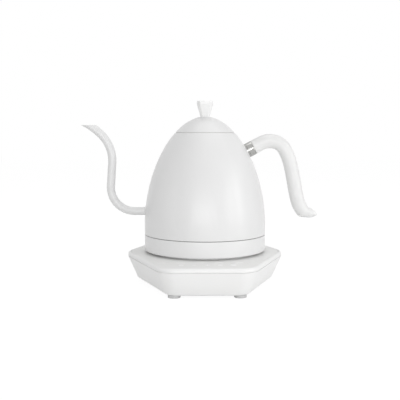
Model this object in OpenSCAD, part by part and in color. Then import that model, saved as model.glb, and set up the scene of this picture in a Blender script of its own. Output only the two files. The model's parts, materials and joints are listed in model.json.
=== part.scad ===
// Electric gooseneck kettle with a lift-off lid, standing on its hexagonal power base.
// Millimetres, +Z up. The origin is on the kettle's axis, on the surface the feet stand on.
// The spout points along -X, the grip along +X, and the control panel faces -Y.

/* [Body] */
// Outer diameter of the kettle at its straight lower wall
body_d = 139; // [134:1:146]
// Sheet thickness of the vessel
wall = 1.2; // [0.8:0.1:1.6]
// Height of the straight wall between the seam and the start of the dome
straight_h = 13.5; // [10:0.5:20]
// Height of the curved body wall, from the straight wall to the lid seam
body_h = 102.6; // [98:0.2:106]
// Height of the dome's apex above the lid seam
lid_rise = 18.4; // [17:0.2:24]
// Upper exponent of the dome curve, larger for a squarer shoulder
dome_rise = 1.8; // [1.7:0.05:2]
// Lower exponent of the dome curve, larger for a fuller side
dome_full = 1.9; // [1.8:0.05:2.1]

/* [Skirt and underside] */
// Height of the separate ring below the seam
skirt_h = 17.8; // [16:0.2:21]
// Wall thickness of the skirt ring
skirt_wall = 2; // [1.6:0.2:2.6]
// Rounding of the skirt's lower edge
skirt_round = 2.4; // [1:0.2:3]
// Height of the kettle's foot ring under the skirt
foot_ring_h = 2.4; // [1.6:0.2:3]
// Thickness of the dark seal in the seam
seam_h = 0.6; // [0.4:0.1:1]
// Thickness of the heated bottom plate
heater_t = 3; // [2:0.5:3.5]
// Diameter of the heating element's ring
element_d = 80; // [74:1:84]
// Diameter of the heating element's tube
element_tube_d = 6.5; // [5:0.5:7]

/* [Spout] */
// Outer diameter of the spout tube
spout_d = 9.4; // [8.6:0.2:11]
// Outer diameter of the spout where it leaves the body
spout_root_d = 9.2; // [8.4:0.2:10]
// Wall thickness of the spout tube
spout_wall = 0.8; // [0.6:0.1:1.2]
// Height of the spout's inlet above the seam
spout_inlet_h = 26.4; // [22:0.2:30]
// Distance from the kettle's axis to where the lower bend starts
spout_run = 81.1; // [78:0.1:90]
// Bend radius of the lower elbow
elbow_r = 27.2; // [24:0.2:32]
// Lean of the rising tube back towards the body
riser_lean = 4; // [0:0.5:6]
// Bend radius of the upper curve
crook_r = 42.2; // [38:0.2:46]
// How far the upper curve turns outwards from the vertical
crook_turn = 45; // [42:1:50]
// Bend radius of the tip beyond the upper curve
tip_r = 79; // [74:1:90]
// Rise of the tip, from the end of the upper curve to the level mouth
tip_rise = 10.8; // [9:0.2:12]
// Drop of the level mouth below the lid's flat top
mouth_drop = 9.2; // [8:0.2:11]

/* [Handle] */
// Depth of the collar's foot below the lid seam
collar_drop = 20.9; // [18:0.1:24]
// Upward slope of the collar
collar_slope = 28; // [24:1:32]
// Length of the collar outside the body
collar_len = 8.2; // [6:0.2:11]
// Diameter of the collar
collar_d = 16.8; // [14:0.2:18]
// Diameter of the stud that holds the grip
stud_d = 6; // [5:0.5:7]
// Reach of the grip from the collar to its toe
grip_reach = 74.4; // [70:0.2:80]
// Drop of the grip from the collar to its toe
grip_drop = 77.4; // [72:0.5:82]
// Thickness of the grip next to the collar
grip_neck_d = 16.6; // [14:0.2:18]
// Thickness of the grip where the hand holds it
grip_d = 16.2; // [15:0.2:19]
// Width of the grip across the hand, as a share of its thickness
grip_oval = 0.95; // [0.85:0.05:1.1]
// Thickness of the grip's pointed toe
toe_d = 4; // [2:0.5:5]

/* [Lid] */
// Thickness of the lid's outer shell
lid_wall = 1; // [0.8:0.1:1.4]
// Thickness of the seal between the lid and the body
lid_seal_t = 0.6; // [0.4:0.1:1]
// Width of the ledge that the lid rests on
ledge_w = 5; // [4.5:0.1:6]
// Depth of the liner below the lid seam
liner_depth = 9.5; // [8:0.5:12]
// Height of the knob
knob_h = 18; // [14:0.2:20]
// Width of the knob's top
knob_w = 18.4; // [16:0.2:20]
// Width of the knob's foot
knob_foot_w = 9.8; // [9.6:0.2:12]
// Height of the upright band around the knob's top
knob_band_h = 3.4; // [2:0.2:5]

/* [Base] */
// Half width of the base at its side corners, before rounding
base_side = 91.6; // [88:0.2:96]
// Half width of the base's front and back edges, before rounding
base_edge = 47.5; // [44:0.5:50]
// Half depth of the base
base_deep = 113; // [108:1:118]
// Rounding of the four front and back corners
base_corner_r = 23; // [18:0.5:26]
// Rounding of the two side corners
base_side_r = 38; // [30:1:42]
// How far the base tapers inwards to its bottom
base_taper = 11.1; // [8:0.1:12]
// Height of the base's dish
dish_h = 25.5; // [24:0.5:30]
// Wall thickness of the dish
dish_wall = 2.4; // [2:0.1:3]
// Height of the top cover above the dish
cover_h = 4.7; // [4.2:0.1:6]
// Slope taken off the top cover's edge
cover_bevel = 1.2; // [0.6:0.1:1.6]
// Thickness of the touch panel
panel_t = 2; // [1.4:0.1:2.2]
// Width of the cover's rim around the touch panel
rim_w = 3.2; // [2.4:0.1:5]
// Diameter of each foot
foot_d = 13.2; // [11:0.2:14]
// Height of each foot below the dish
foot_h = 3; // [2:0.2:5]

/* [Connector] */
// Diameter of the round connector that stands up from the base
plug_d = 31.8; // [30:0.2:34]
// Height of the connector above the panel
plug_h = 13; // [12:0.5:14]
// Diameter of the centre pin
pin_d = 6; // [5:0.5:6.5]

/* [Cord entry] */
// Bore of the cord bush
cord_d = 6.8; // [6:0.2:8]
// Length of the cord bush
cord_bush_len = 12; // [10:0.5:14]

/* [Fits] */
// Gap between pieces that are pressed, glued or welded together
seat_gap = 0.1; // [0.02:0.02:0.2]
// Radial play of the centre pin in its holes
pin_play = 0.05; // [0.02:0.01:0.1]
// Radial play of the lid's seal in the neck
lid_play = 0.1; // [0.05:0.05:0.3]
// Play between the connector's fixed and lifted halves
plug_play = 0.6; // [0.4:0.1:0.8]

/* [Hidden] */
$fn = 72;

// Levels, from the floor upwards
dish_top = foot_h + dish_h;
panel_top = dish_top + cover_h;
skirt_z = panel_top + foot_ring_h;
skirt_top = skirt_z + skirt_h;
body_z = skirt_top + seam_h;
dome_z = body_z + straight_h;
lid_z = dome_z + body_h;
ledge_z = lid_z - lid_seal_t;
dome_h = body_h + lid_rise;
flat_drop = 0.8;
lid_top = dome_z + dome_h - flat_drop;

// Vessel
body_r = body_d / 2;
dome_steps = 32;
neck_r = dome_r(ledge_z) - ledge_w;
neck_depth = 6;
heater_z = body_z + 3;
heater_r = body_r - wall - seat_gap;

// Spout: a level inlet, an elbow, a straight riser and a crook that ends in a level mouth
spout_z = skirt_top + spout_inlet_h;
spout_r = spout_d / 2;
spout_root_r = spout_root_d / 2;
inlet_x = -(body_r - 4);
riser_dir = 90 - riser_lean;
tip_dir = 90 + crook_turn;
mouth_z = lid_top - mouth_drop;
elbow_rise = elbow_r * (1 + sin(riser_lean));
crook_rise = crook_r * (sin(crook_turn) + sin(riser_lean));
riser_len = (mouth_z - tip_rise - crook_rise - elbow_rise - spout_z) / cos(riser_lean);
elbow_c = [-spout_run, spout_z + elbow_r];
elbow_end = elbow_c - elbow_r * [cos(riser_dir - 90), sin(riser_dir - 90)];
riser_end = elbow_end + riser_len * [cos(riser_dir), sin(riser_dir)];
crook_c = riser_end + crook_r * [cos(riser_dir + 90), sin(riser_dir + 90)];
crook_end = crook_c - crook_r * [cos(tip_dir + 90), sin(tip_dir + 90)];
tip_c = crook_end + tip_r * [cos(tip_dir + 90), sin(tip_dir + 90)];
tube_sides = 28;
elbow_steps = 12;
crook_steps = 8;
tip_steps = 3;

// Handle: the collar stands square on the body's slope
collar_z = lid_z - collar_drop;
collar_x = dome_r(collar_z);
collar_r = collar_d / 2;
stud_r = stud_d / 2;
stud_grip = 14;
insert_r = stud_r + 1.8;
grip_x = collar_x + collar_len * cos(collar_slope);
grip_z = collar_z + collar_len * sin(collar_slope);

// Underside of the kettle
cover_t = 2;
cover_z = skirt_z + 0.6;
cover_r = body_r - skirt_wall - seat_gap;
stud_ring_r = 53;
foot_ring_r = 60;
element_r = element_d / 2;
tube_r = element_tube_d / 2;
element_z = heater_z - tube_r;
probe_r = 3;

// Connector
plug_r = plug_d / 2;
plug_top = panel_top + plug_h;
socket_r = plug_r + plug_play;
socket_z = plug_top + plug_play;
socket_wall = 2.4;
pin_r = pin_d / 2;
pin_top = plug_top + 3;
live_r = 12;
neutral_r = 7.6;
ring_t = 0.8;
groove_w = 3;
ring_drop = 5;

// Base
inner_z = foot_h + dish_wall;
panel_z = panel_top - panel_t;
tower_x = base_side * 0.55;
tower_y = base_deep * 0.4;
tower_top = dish_top - 9;
board_t = 1.6;
touch_size = [92, 32, board_t];
touch_y = -(base_deep - base_taper - touch_size[1] / 2 - 6);
touch_z = dish_top - 5.4;
display_size = [touch_size[0] * 0.35, 13, panel_z - touch_z - board_t];
display_x = -touch_size[0] * 0.2;
display_y = touch_y + touch_size[1] / 2 - display_size[1] / 2 - 4;
sensor_r = 3;
sensor_step = touch_size[0] * 0.147;
power_size = [84, 52, board_t];
power_z = inner_z + 4;
power_top = power_z + board_t;
part_h = 13;
bush_y = base_deep - base_taper - 0.5;
bush_z = foot_h + 12;
bush_r = cord_d / 2 + 2.4;
bush_flange_r = bush_r + 1.8;
bush_flange_t = 2.5;
bush_wall = 3.2;
power_y = bush_y + bush_flange_t - cord_bush_len - 4 - power_size[1] / 2;
pocket_w = 2 * bush_flange_r + 7;
pocket_h = 2 * bush_flange_r + 5;

// Radius of the outer dome at height z
function dome_r(z) = z <= dome_z
    ? body_r
    : body_r * pow(1 - pow((z - dome_z) / dome_h, dome_rise), 1 / dome_full);

// Outline points of the dome, from height z0 to height z1, set inwards by inset
function dome_line(z0, z1, inset = 0) =
    [for (i = [0:dome_steps]) let (z = z0 + (z1 - z0) * i / dome_steps) [dome_r(z) - inset, z]];

// The same outline in the opposite order, for the inner face of a shell
function reversed(line) = [for (i = [len(line) - 1:-1:0]) line[i]];

// Solid of revolution that fills the dome up to height z
module dome_fill(z) {
    rotate_extrude()
        polygon(concat([[0, body_z], [body_r, body_z]], dome_line(dome_z, z), [[0, z]]));
}

// Rounded six-sided block whose sides step inwards by inset0 at the bottom and inset1 at the top
module hex_block(z0, z1, inset0, inset1) {
    edge = base_edge - base_corner_r * tan(corner_half);
    side = base_side - base_side_r / cos(side_slope);
    deep = base_deep - base_corner_r;
    hull() {
        for (x = [-1, 1], y = [-1, 1])
            translate([x * edge, y * deep, z0])
                cylinder(h = z1 - z0, r1 = base_corner_r - inset0, r2 = base_corner_r - inset1, $fn = 48);
        for (x = [-1, 1])
            translate([x * side, 0, z0])
                cylinder(h = z1 - z0, r1 = base_side_r - inset0, r2 = base_side_r - inset1, $fn = 96);
    }
}
side_slope = atan((base_side - base_edge) / base_deep);
corner_half = (90 - side_slope) / 2;

// Round-headed screw whose head sits on z = 0 and whose shank points up
module screw(head_r, head_h, shank_r, shank_len) {
    translate([0, 0, -head_h])
        cylinder(h = head_h, r = head_r);
    translate([0, 0, -head_h / 2])
        cylinder(h = shank_len + head_h / 2, r = shank_r);
}

// Straight wire between two points
module wire(a, b, r) {
    span = b - a;
    translate(a)
        rotate([0, acos(span[2] / norm(span)), atan2(span[1], span[0])])
            cylinder(h = norm(span), r = r);
}

module at_towers() {
    for (x = [-tower_x, tower_x], y = [-tower_y, tower_y])
        translate([x, y, 0])
            children();
}

module at_feet() {
    children();
    for (x = [-1, 1]) {
        translate([x * (base_side - base_taper - foot_d), 0, 0])
            children();
        for (y = [-1, 1])
            translate([x * (base_edge - foot_d), y * (base_deep - base_taper - foot_d * 0.6), 0])
                children();
    }
}

module at_boards(size, y) {
    for (x = [-1, 1], s = [-1, 1])
        translate([x * (size[0] / 2 - 5), y + s * (size[1] / 2 - 5), 0])
            children();
}

module base_housing() {
    color("white")
    difference() {
        union() {
            difference() {
                hex_block(foot_h, dish_top, base_taper, 0);
                hex_block(inner_z, dish_top + 1, base_taper - 1 + dish_wall, dish_wall);
            }
            at_towers()
                translate([0, 0, inner_z - 0.5])
                    cylinder(h = tower_top - inner_z + 0.5, r = 4.5);
            at_boards(power_size, power_y)
                translate([0, 0, inner_z - 0.5])
                    cylinder(h = power_z - inner_z + 0.5, r = 3.4);
            translate([-pocket_w / 2 - 3, bush_y - bush_wall, foot_h + 1])
                cube([pocket_w + 6, bush_wall, dish_h - 3]);
        }
        at_towers() {
            translate([0, 0, foot_h - 1])
                cylinder(h = 8, r = 3.6);
            translate([0, 0, foot_h])
                cylinder(h = dish_h, r = 1.8);
        }
        at_boards(power_size, power_y)
            translate([0, 0, inner_z + 0.2])
                cylinder(h = dish_h, r = 1.2);
        at_feet()
            translate([0, 0, foot_h - 1])
                cylinder(h = 2, r = foot_d / 2 - 1.5 + seat_gap);
        translate([-pocket_w / 2, bush_y, bush_z - pocket_h / 2])
            cube([pocket_w, 2 * base_taper, pocket_h]);
        translate([0, bush_y + 1, bush_z])
            rotate([90, 0, 0])
                cylinder(h = bush_wall + 6, r = bush_r + seat_gap);
    }
}

module top_cover() {
    color("white")
    difference() {
        union() {
            hex_block(dish_top, panel_top - cover_bevel, 0, 0);
            hex_block(panel_top - cover_bevel, panel_top, 0, cover_bevel);
            at_towers()
                translate([0, 0, tower_top])
                    cylinder(h = dish_top - tower_top + 0.5, r = 4.2);
            at_boards(touch_size, touch_y)
                translate([0, 0, touch_z + touch_size[2]])
                    cylinder(h = dish_top - touch_z - touch_size[2] + 0.5, r = 3);
        }
        hex_block(panel_z, panel_top + 1, rim_w, rim_w);
        translate([0, 0, dish_top - 1])
            cylinder(h = cover_h + 2, r = plug_r + seat_gap);
        translate([display_x - display_size[0] / 2 - 0.5, display_y - display_size[1] / 2 - 0.5, dish_top - 1])
            cube([display_size[0] + 1, display_size[1] + 1, cover_h]);
        at_towers()
            translate([0, 0, tower_top - 1])
                cylinder(h = 9, r = 1.5);
        at_boards(touch_size, touch_y)
            translate([0, 0, touch_z])
                cylinder(h = 6, r = 1);
    }
}

module touch_panel() {
    color("ivory")
    difference() {
        hex_block(panel_z, panel_top, rim_w + seat_gap, rim_w + seat_gap);
        translate([0, 0, panel_z - 1])
            cylinder(h = panel_t + 2, r = plug_r + seat_gap);
    }
}

module base_connector() {
    flange_z = dish_top - 2.2;
    color("dimgray")
    difference() {
        union() {
            translate([0, 0, dish_top - 12])
                cylinder(h = plug_top - dish_top + 12, r = plug_r);
            translate([0, 0, flange_z])
                cylinder(h = dish_top - flange_z, r = plug_r + 5);
        }
        for (r = [live_r, neutral_r])
            translate([0, 0, plug_top - ring_drop - 2.5])
                difference() {
                    cylinder(h = ring_drop + 4, r = r + groove_w / 2);
                    translate([0, 0, -1])
                        cylinder(h = ring_drop + 6, r = r - groove_w / 2);
                }
        translate([0, 0, dish_top - 8])
            cylinder(h = plug_top, r = pin_r + pin_play);
    }
}

module base_contacts() {
    color("goldenrod")
    for (r = [live_r, neutral_r])
        translate([0, 0, plug_top - ring_drop - 2.5])
            difference() {
                cylinder(h = ring_drop, r = r - groove_w / 2 + 0.5);
                translate([0, 0, -1])
                    cylinder(h = ring_drop + 2, r = r - groove_w / 2 + seat_gap / 2);
            }
}

module cord_bush() {
    color("gray")
    translate([0, bush_y + bush_flange_t, bush_z])
        rotate([90, 0, 0])
            difference() {
                union() {
                    cylinder(h = bush_flange_t, r = bush_flange_r);
                    cylinder(h = cord_bush_len, r = bush_r);
                    translate([0, 0, bush_flange_t + bush_wall + seat_gap])
                        cylinder(h = 2, r = bush_flange_r - 0.6);
                }
                translate([0, 0, -1])
                    cylinder(h = cord_bush_len + 2, r = cord_d / 2);
            }
}

module touch_board() {
    color("seagreen")
    difference() {
        translate([-touch_size[0] / 2, touch_y - touch_size[1] / 2, touch_z])
            cube(touch_size);
        at_boards(touch_size, touch_y)
            translate([0, 0, touch_z - 1])
                cylinder(h = 4, r = 1.3);
    }
}

module touch_sensors() {
    color("silver")
    for (i = [-2:2])
        translate([i * sensor_step, touch_y - touch_size[1] / 4, touch_z + touch_size[2]])
            cylinder(h = dish_top - touch_z - touch_size[2], r = sensor_r);
}

module display_module() {
    color("black")
    translate([display_x - display_size[0] / 2, display_y - display_size[1] / 2, touch_z + touch_size[2]])
        cube(display_size);
}

module board_screws() {
    color("silver") {
        at_boards(touch_size, touch_y)
            translate([0, 0, touch_z])
                screw(2.4, 1.6, 0.95, 5.4);
        at_boards(power_size, power_y)
            translate([0, 0, power_top])
                mirror([0, 0, 1])
                    screw(2.4, 1.6, 1.1, 5);
    }
}

module power_board() {
    color("seagreen")
    difference() {
        translate([-power_size[0] / 2, power_y - power_size[1] / 2, power_z])
            cube(power_size);
        at_boards(power_size, power_y)
            translate([0, 0, power_z - 1])
                cylinder(h = 4, r = 1.4);
    }
}

module relay() {
    color("royalblue")
    translate([-30, power_y - 18, power_top])
        cube([19, 15.5, part_h]);
}

module transformer() {
    color("gold")
    translate([6, power_y - 20, power_top])
        cube([22, 20, part_h + 0.5]);
}

module capacitor() {
    color("navy")
    translate([-2, power_y + 12, power_top])
        cylinder(h = part_h, r = 5);
}

module buzzer() {
    color("black")
    translate([-20, power_y + 8, power_top])
        difference() {
            cylinder(h = 8, r = 6);
            translate([0, 0, 6.5])
                cylinder(h = 3, r = 1.2);
        }
}

module terminal_block() {
    block = [20, 12, 11];
    corner = [8, power_y + 6, power_top];
    color("white")
    difference() {
        translate(corner)
            cube(block);
        for (share = [0.25, 0.75])
            translate(corner + [block[0] * share, block[1] / 2, 5])
                cylinder(h = 8, r = 1.6);
    }
}

module base_leads() {
    lead_r = 1.1;
    lead_x = 9;
    lead_reach = 22;
    color("firebrick")
    for (x = [-lead_x, lead_x])
        wire([x, plug_r + 0.5, dish_top - 4],
             [x * 1.6, power_y - lead_reach, power_top + lead_r + 0.2], lead_r);
}

module base_screws() {
    color("silver")
    at_towers()
        translate([0, 0, foot_h + 7])
            screw(3.2, 2.4, 1.45, tower_top - foot_h - 0.5);
}

module feet() {
    color("darkgray")
    at_feet() {
        cylinder(h = foot_h, r = foot_d / 2);
        translate([0, 0, foot_h - 0.5])
            cylinder(h = 1.5 - seat_gap, r = foot_d / 2 - 1.5);
    }
}

module centre_pin() {
    color("goldenrod")
    translate([0, 0, dish_top - 8]) {
        cylinder(h = pin_top - dish_top + 7, r = pin_r);
        cylinder(h = pin_top - dish_top + 8, r = pin_r - 1);
    }
}

module body_shell() {
    color("white")
    difference() {
        rotate_extrude()
            polygon(concat(
                [[body_r - wall, body_z], [body_r, body_z]],
                dome_line(dome_z, ledge_z),
                reversed(dome_line(dome_z, ledge_z, wall))));
        translate([0, 0, spout_z])
            rotate([0, -90, 0])
                cylinder(h = body_r + 5, r = spout_root_r + seat_gap / 2);
        translate([collar_x, 0, collar_z])
            rotate([0, 90 - collar_slope, 0])
                translate([0, 0, -12])
                    cylinder(h = 20, r = stud_r + seat_gap);
    }
}

module neck_ring() {
    neck_z = ledge_z - neck_depth;
    inset = wall + seat_gap;
    color("silver")
    rotate_extrude()
        polygon([[neck_r, neck_z], [neck_r + wall, neck_z], [neck_r + wall, ledge_z - wall],
                 [dome_r(ledge_z) - inset, ledge_z - wall], [dome_r(ledge_z) - inset, ledge_z],
                 [neck_r, ledge_z]]);
}

// Stations along the spout: [x, z, direction, outer radius]
spout_path = concat(
    [[inlet_x, spout_z, 180, spout_root_r]],
    [for (i = [0:elbow_steps])
        let (t = i / elbow_steps, d = 180 + (riser_dir - 180) * t,
             p = elbow_c - elbow_r * [cos(d - 90), sin(d - 90)])
        [p[0], p[1], d, spout_root_r + (spout_r - spout_root_r) * t]],
    [for (i = [0:crook_steps])
        let (d = riser_dir + (tip_dir - riser_dir) * i / crook_steps,
             p = crook_c - crook_r * [cos(d + 90), sin(d + 90)])
        [p[0], p[1], d, spout_r]]);

// Ring of points round the station s of a bent bar, with half its thickness and half its width
function ring(s, thick, wide, sides) =
    [for (k = [0:sides - 1])
        let (a = 360 * k / sides)
        [s[0] - thick * cos(a) * sin(s[2]), wide * sin(a), s[1] + thick * cos(a) * cos(s[2])]];

// Ring of the spout, or of its bore when wall is above zero
function spout_ring(s, wall) = ring(s, s[3] - wall, s[3] - wall, tube_sides);

// Ring at share t of the tip, each of whose lines bends on until it meets the level of the mouth
function tip_ring(t, wall) =
    [for (k = [0:tube_sides - 1])
        let (a = 360 * k / tube_sides,
             reach = tip_r - (spout_r - wall) * cos(a),
             lip_dir = acos((tip_c[1] - mouth_z) / reach),
             d = tip_dir + (lip_dir - tip_dir) * t)
        [tip_c[0] + reach * sin(d), (spout_r - wall) * sin(a), tip_c[1] - reach * cos(d)]];

// All rings of the spout's skin, from the inlet to the mouth
function spout_skin(wall) =
    concat([for (s = spout_path) spout_ring(s, wall)],
           [for (i = [1:tip_steps]) tip_ring(i / tip_steps, wall)]);

// Triangles between ring i and ring j of a skin with n points to a ring
function band(i, j, n) =
    [for (k = [0:n - 1], half = [0, 1])
        half == 0 ? [i * n + k, j * n + k, j * n + (k + 1) % n]
                  : [i * n + k, j * n + (k + 1) % n, i * n + (k + 1) % n]];

module spout_tube() {
    n = tube_sides;
    rings = concat(spout_skin(0), spout_skin(spout_wall));
    half = len(rings) / 2;
    color("white")
    polyhedron(
        points = [for (r = rings, p = r) p],
        faces = concat(
            [for (i = [0:half - 2], f = band(i, i + 1, n)) f],
            [for (i = [half:2 * half - 2], f = band(i + 1, i, n)) f],
            band(half, 0, n),
            band(half - 1, 2 * half - 1, n)));
}

module heater_plate() {
    color("silver")
    difference() {
        union() {
            translate([0, 0, heater_z])
                cylinder(h = heater_t, r = heater_r);
            for (a = [90, 210, 330])
                rotate([0, 0, a])
                    translate([stud_ring_r, 0, cover_z + cover_t])
                        cylinder(h = heater_z - cover_z - cover_t + 0.5, r = 3.5);
        }
        translate([0, 0, heater_z - 1])
            cylinder(h = heater_t + 2, r = probe_r + seat_gap);
        for (a = [90, 210, 330])
            rotate([0, 0, a])
                translate([stud_ring_r, 0, cover_z])
                    cylinder(h = 10, r = 1.5);
    }
}

module heating_element() {
    open_a = 40;
    color("dimgray") {
        translate([0, 0, element_z])
            rotate([0, 0, 90 + open_a / 2])
                rotate_extrude(angle = 360 - open_a)
                    translate([element_r, 0])
                        circle(r = tube_r);
        for (s = [-1, 1])
            rotate([0, 0, 90 + s * (open_a / 2 + 3)])
                translate([element_r, 0, element_z - tube_r - 4])
                    cylinder(h = 5, r = 1.4);
    }
}

module temperature_probe() {
    color("silver") {
        translate([0, 0, heater_z - 2])
            cylinder(h = heater_t + 10, r = probe_r);
        translate([0, 0, heater_z + heater_t])
            cylinder(h = 1.2, r = probe_r + 3);
    }
}

module thermostat() {
    color("saddlebrown")
    translate([0, -26, 0]) {
        translate([0, 0, heater_z - 7])
            cylinder(h = 7, r = 7);
        for (x = [-3, 3])
            translate([x - 1.5, -0.4, heater_z - 12])
                cube([3, 0.8, 6]);
    }
}

module seam_seal() {
    color("black")
    translate([0, 0, skirt_top])
        difference() {
            cylinder(h = seam_h, r = body_r - 0.7);
            translate([0, 0, -1])
                cylinder(h = seam_h + 2, r = body_r - skirt_wall);
        }
}

module skirt_ring() {
    lip_r = body_r - wall - 2 * seat_gap;
    lip_in = body_r - skirt_wall - 1.6;
    color("white")
    rotate_extrude()
        polygon(concat(
            [for (a = [-90:15:0]) [body_r - skirt_round + skirt_round * cos(a),
                                   skirt_z + skirt_round + skirt_round * sin(a)]],
            [[body_r, skirt_top], [body_r - skirt_wall - seat_gap, skirt_top],
             [body_r - skirt_wall - seat_gap, heater_z], [lip_in, heater_z],
             [lip_in, skirt_top - 2], [body_r - skirt_wall, skirt_top - 4],
             [body_r - skirt_wall, cover_z + cover_t], [body_r - skirt_wall, skirt_z + 0.6],
             [body_r - skirt_round, skirt_z]]));
}

module lower_cover() {
    color("gainsboro")
    difference() {
        union() {
            translate([0, 0, cover_z])
                cylinder(h = cover_t, r = cover_r);
            translate([0, 0, panel_top])
                cylinder(h = foot_ring_h + 1, r = foot_ring_r);
        }
        translate([0, 0, panel_top - 1])
            cylinder(h = cover_z - panel_top + 1, r = foot_ring_r - 3);
        translate([0, 0, cover_z - 1])
            cylinder(h = cover_t + 2, r = socket_r + socket_wall + seat_gap);
        for (a = [90, 210, 330])
            rotate([0, 0, a])
                translate([stud_ring_r, 0, cover_z - 1])
                    cylinder(h = cover_t + 2, r = 1.8);
    }
}

module cover_screws() {
    color("silver")
    for (a = [90, 210, 330])
        rotate([0, 0, a])
            translate([stud_ring_r, 0, cover_z])
                screw(3, 1.6, 1.4, 9);
}

module coupler() {
    top_z = socket_z + 4;
    outer = socket_r + socket_wall;
    color("dimgray")
    difference() {
        union() {
            translate([0, 0, cover_z])
                cylinder(h = top_z - cover_z, r = outer);
            translate([0, 0, cover_z + cover_t])
                cylinder(h = 2, r = outer + 3);
        }
        difference() {
            translate([0, 0, cover_z - 1])
                cylinder(h = socket_z - cover_z + 1, r = socket_r);
        }
        translate([0, 0, socket_z - 1])
            cylinder(h = pin_top - socket_z + 2, r = pin_r + pin_play);
        for (r = [live_r, neutral_r])
            translate([0, 0, socket_z - 1])
                difference() {
                    cylinder(h = 3, r = r + ring_t + seat_gap / 2);
                    translate([0, 0, -1])
                        cylinder(h = 5, r = r - seat_gap / 2);
                }
    }
}

module coupler_contacts() {
    color("goldenrod")
    for (r = [live_r, neutral_r])
        translate([0, 0, plug_top - ring_drop])
            difference() {
                cylinder(h = socket_z - plug_top + ring_drop + 1.8, r = r + ring_t);
                translate([0, 0, -1])
                    cylinder(h = socket_z - plug_top + ring_drop + 4, r = r);
            }
}

module coupler_leads() {
    lead_r = 1.1;
    z0 = socket_z + 4;
    color("firebrick")
    for (s = [-1, 1])
        wire([s * plug_r / 2, plug_r, z0 + lead_r + seat_gap],
             [s * element_r * 0.345, element_r - 6, element_z - tube_r - lead_r - 1], lead_r);
}

module handle_collar() {
    color("silver")
    difference() {
        translate([collar_x, 0, collar_z])
            rotate([0, 90 - collar_slope, 0])
                difference() {
                    translate([0, 0, -6])
                        cylinder(h = collar_len + 6, r = collar_r);
                    translate([0, 0, -7])
                        cylinder(h = collar_len + 8, r = stud_r + seat_gap);
                }
        dome_fill(ledge_z);
    }
}

module handle_stud() {
    color("silver")
    translate([collar_x, 0, collar_z])
        rotate([0, 90 - collar_slope, 0]) {
            translate([0, 0, -wall - 1.6])
                cylinder(h = wall + 1.6 + collar_len + stud_grip - 1, r = stud_r);
            translate([0, 0, -wall - 2.2])
                cylinder(h = 1.8, r = stud_r + 2.5);
        }
}

module grip_insert() {
    color("goldenrod")
    translate([grip_x, 0, grip_z])
        rotate([0, 90 - collar_slope, 0])
            difference() {
                cylinder(h = stud_grip, r = insert_r);
                translate([0, 0, -1])
                    cylinder(h = stud_grip + 2, r = stud_r + seat_gap / 2);
            }
}

// Stations along the grip: [share of reach, share of drop, direction, thickness]
grip_stations = [
    [0, 0, collar_slope, grip_neck_d],
    [0.238, -0.094, 0, grip_neck_d + (grip_d - grip_neck_d) * 0.4],
    [0.431, -0.034, -43, grip_d],
    [0.526, 0.112, -66, grip_d],
    [0.597, 0.34, -78, grip_d],
    [0.649, 0.607, -80, grip_d],
    [0.699, 0.81, -73, grip_d],
    [0.778, 0.95, -50, grip_d * 0.97],
    [0.894, 0.984, -20, grip_d * 0.69],
    [1, 1, -4, toe_d]];
grip_steps = 5;
grip_sides = 28;

// Point at share t of the curve that joins stations a and b
function grip_curve(a, b, t) =
    let (p = [grip_reach * a[0], -grip_drop * a[1]], q = [grip_reach * b[0], -grip_drop * b[1]],
         pull = norm(q - p) / 3,
         p1 = p + pull * [cos(a[2]), sin(a[2])],
         q1 = q - pull * [cos(b[2]), sin(b[2])])
    p * pow(1 - t, 3) + p1 * 3 * t * pow(1 - t, 2) + q1 * 3 * t * t * (1 - t) + q * pow(t, 3);

grip_count = len(grip_stations) - 1;
grip_path = [for (i = [0:grip_count * grip_steps])
    let (j = min(floor(i / grip_steps), grip_count - 1), t = i / grip_steps - j,
         a = grip_stations[j], b = grip_stations[j + 1], p = grip_curve(a, b, t))
    [grip_x + p[0], grip_z + p[1], a[2] + (b[2] - a[2]) * t, (a[3] + (b[3] - a[3]) * t) / 2]];

module grip_skin() {
    n = grip_sides;
    last = len(grip_path) - 1;
    polyhedron(
        points = [for (s = grip_path, p = ring(s, s[3], s[3] * grip_oval, n)) p],
        faces = concat(
            [[for (k = [0:n - 1]) k]],
            [[for (k = [n - 1:-1:0]) last * n + k]],
            [for (i = [0:last - 1], f = band(i, i + 1, n)) f]));
}

module grip() {
    color("white")
    difference() {
        grip_skin();
        translate([grip_x, 0, grip_z])
            rotate([0, 90 - collar_slope, 0])
                translate([0, 0, -1])
                    cylinder(h = stud_grip + 1 + seat_gap, r = insert_r + seat_gap / 2);
    }
}

module lid_shell() {
    color("white")
    difference() {
        rotate_extrude()
            polygon(concat([[dome_r(lid_z) - lid_wall, lid_z]], dome_line(lid_z, lid_top),
                           [[0, lid_top], [0, lid_top - lid_wall]],
                           reversed(dome_line(lid_z, lid_top - lid_wall, lid_wall))));
        translate([0, 0, lid_top - 5])
            cylinder(h = 10, r = 2.2);
    }
}

module lid_liner() {
    liner_r = neck_r - lid_play - 0.4;
    flange_r = dome_r(lid_z + lid_wall) - lid_wall - seat_gap;
    bottom = lid_z - liner_depth;
    color("silver")
    difference() {
        rotate_extrude()
            polygon([[0, bottom], [liner_r, bottom], [liner_r, lid_z], [flange_r, lid_z],
                     [flange_r, lid_z + lid_wall], [liner_r - lid_wall, lid_z + lid_wall],
                     [liner_r - lid_wall, bottom + lid_wall], [0, bottom + lid_wall]]);
        for (a = [0:60:300])
            rotate([0, 0, a])
                translate([liner_r - 7, 0, bottom - 1])
                    cylinder(h = 4, r = 1.6);
    }
}

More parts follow.
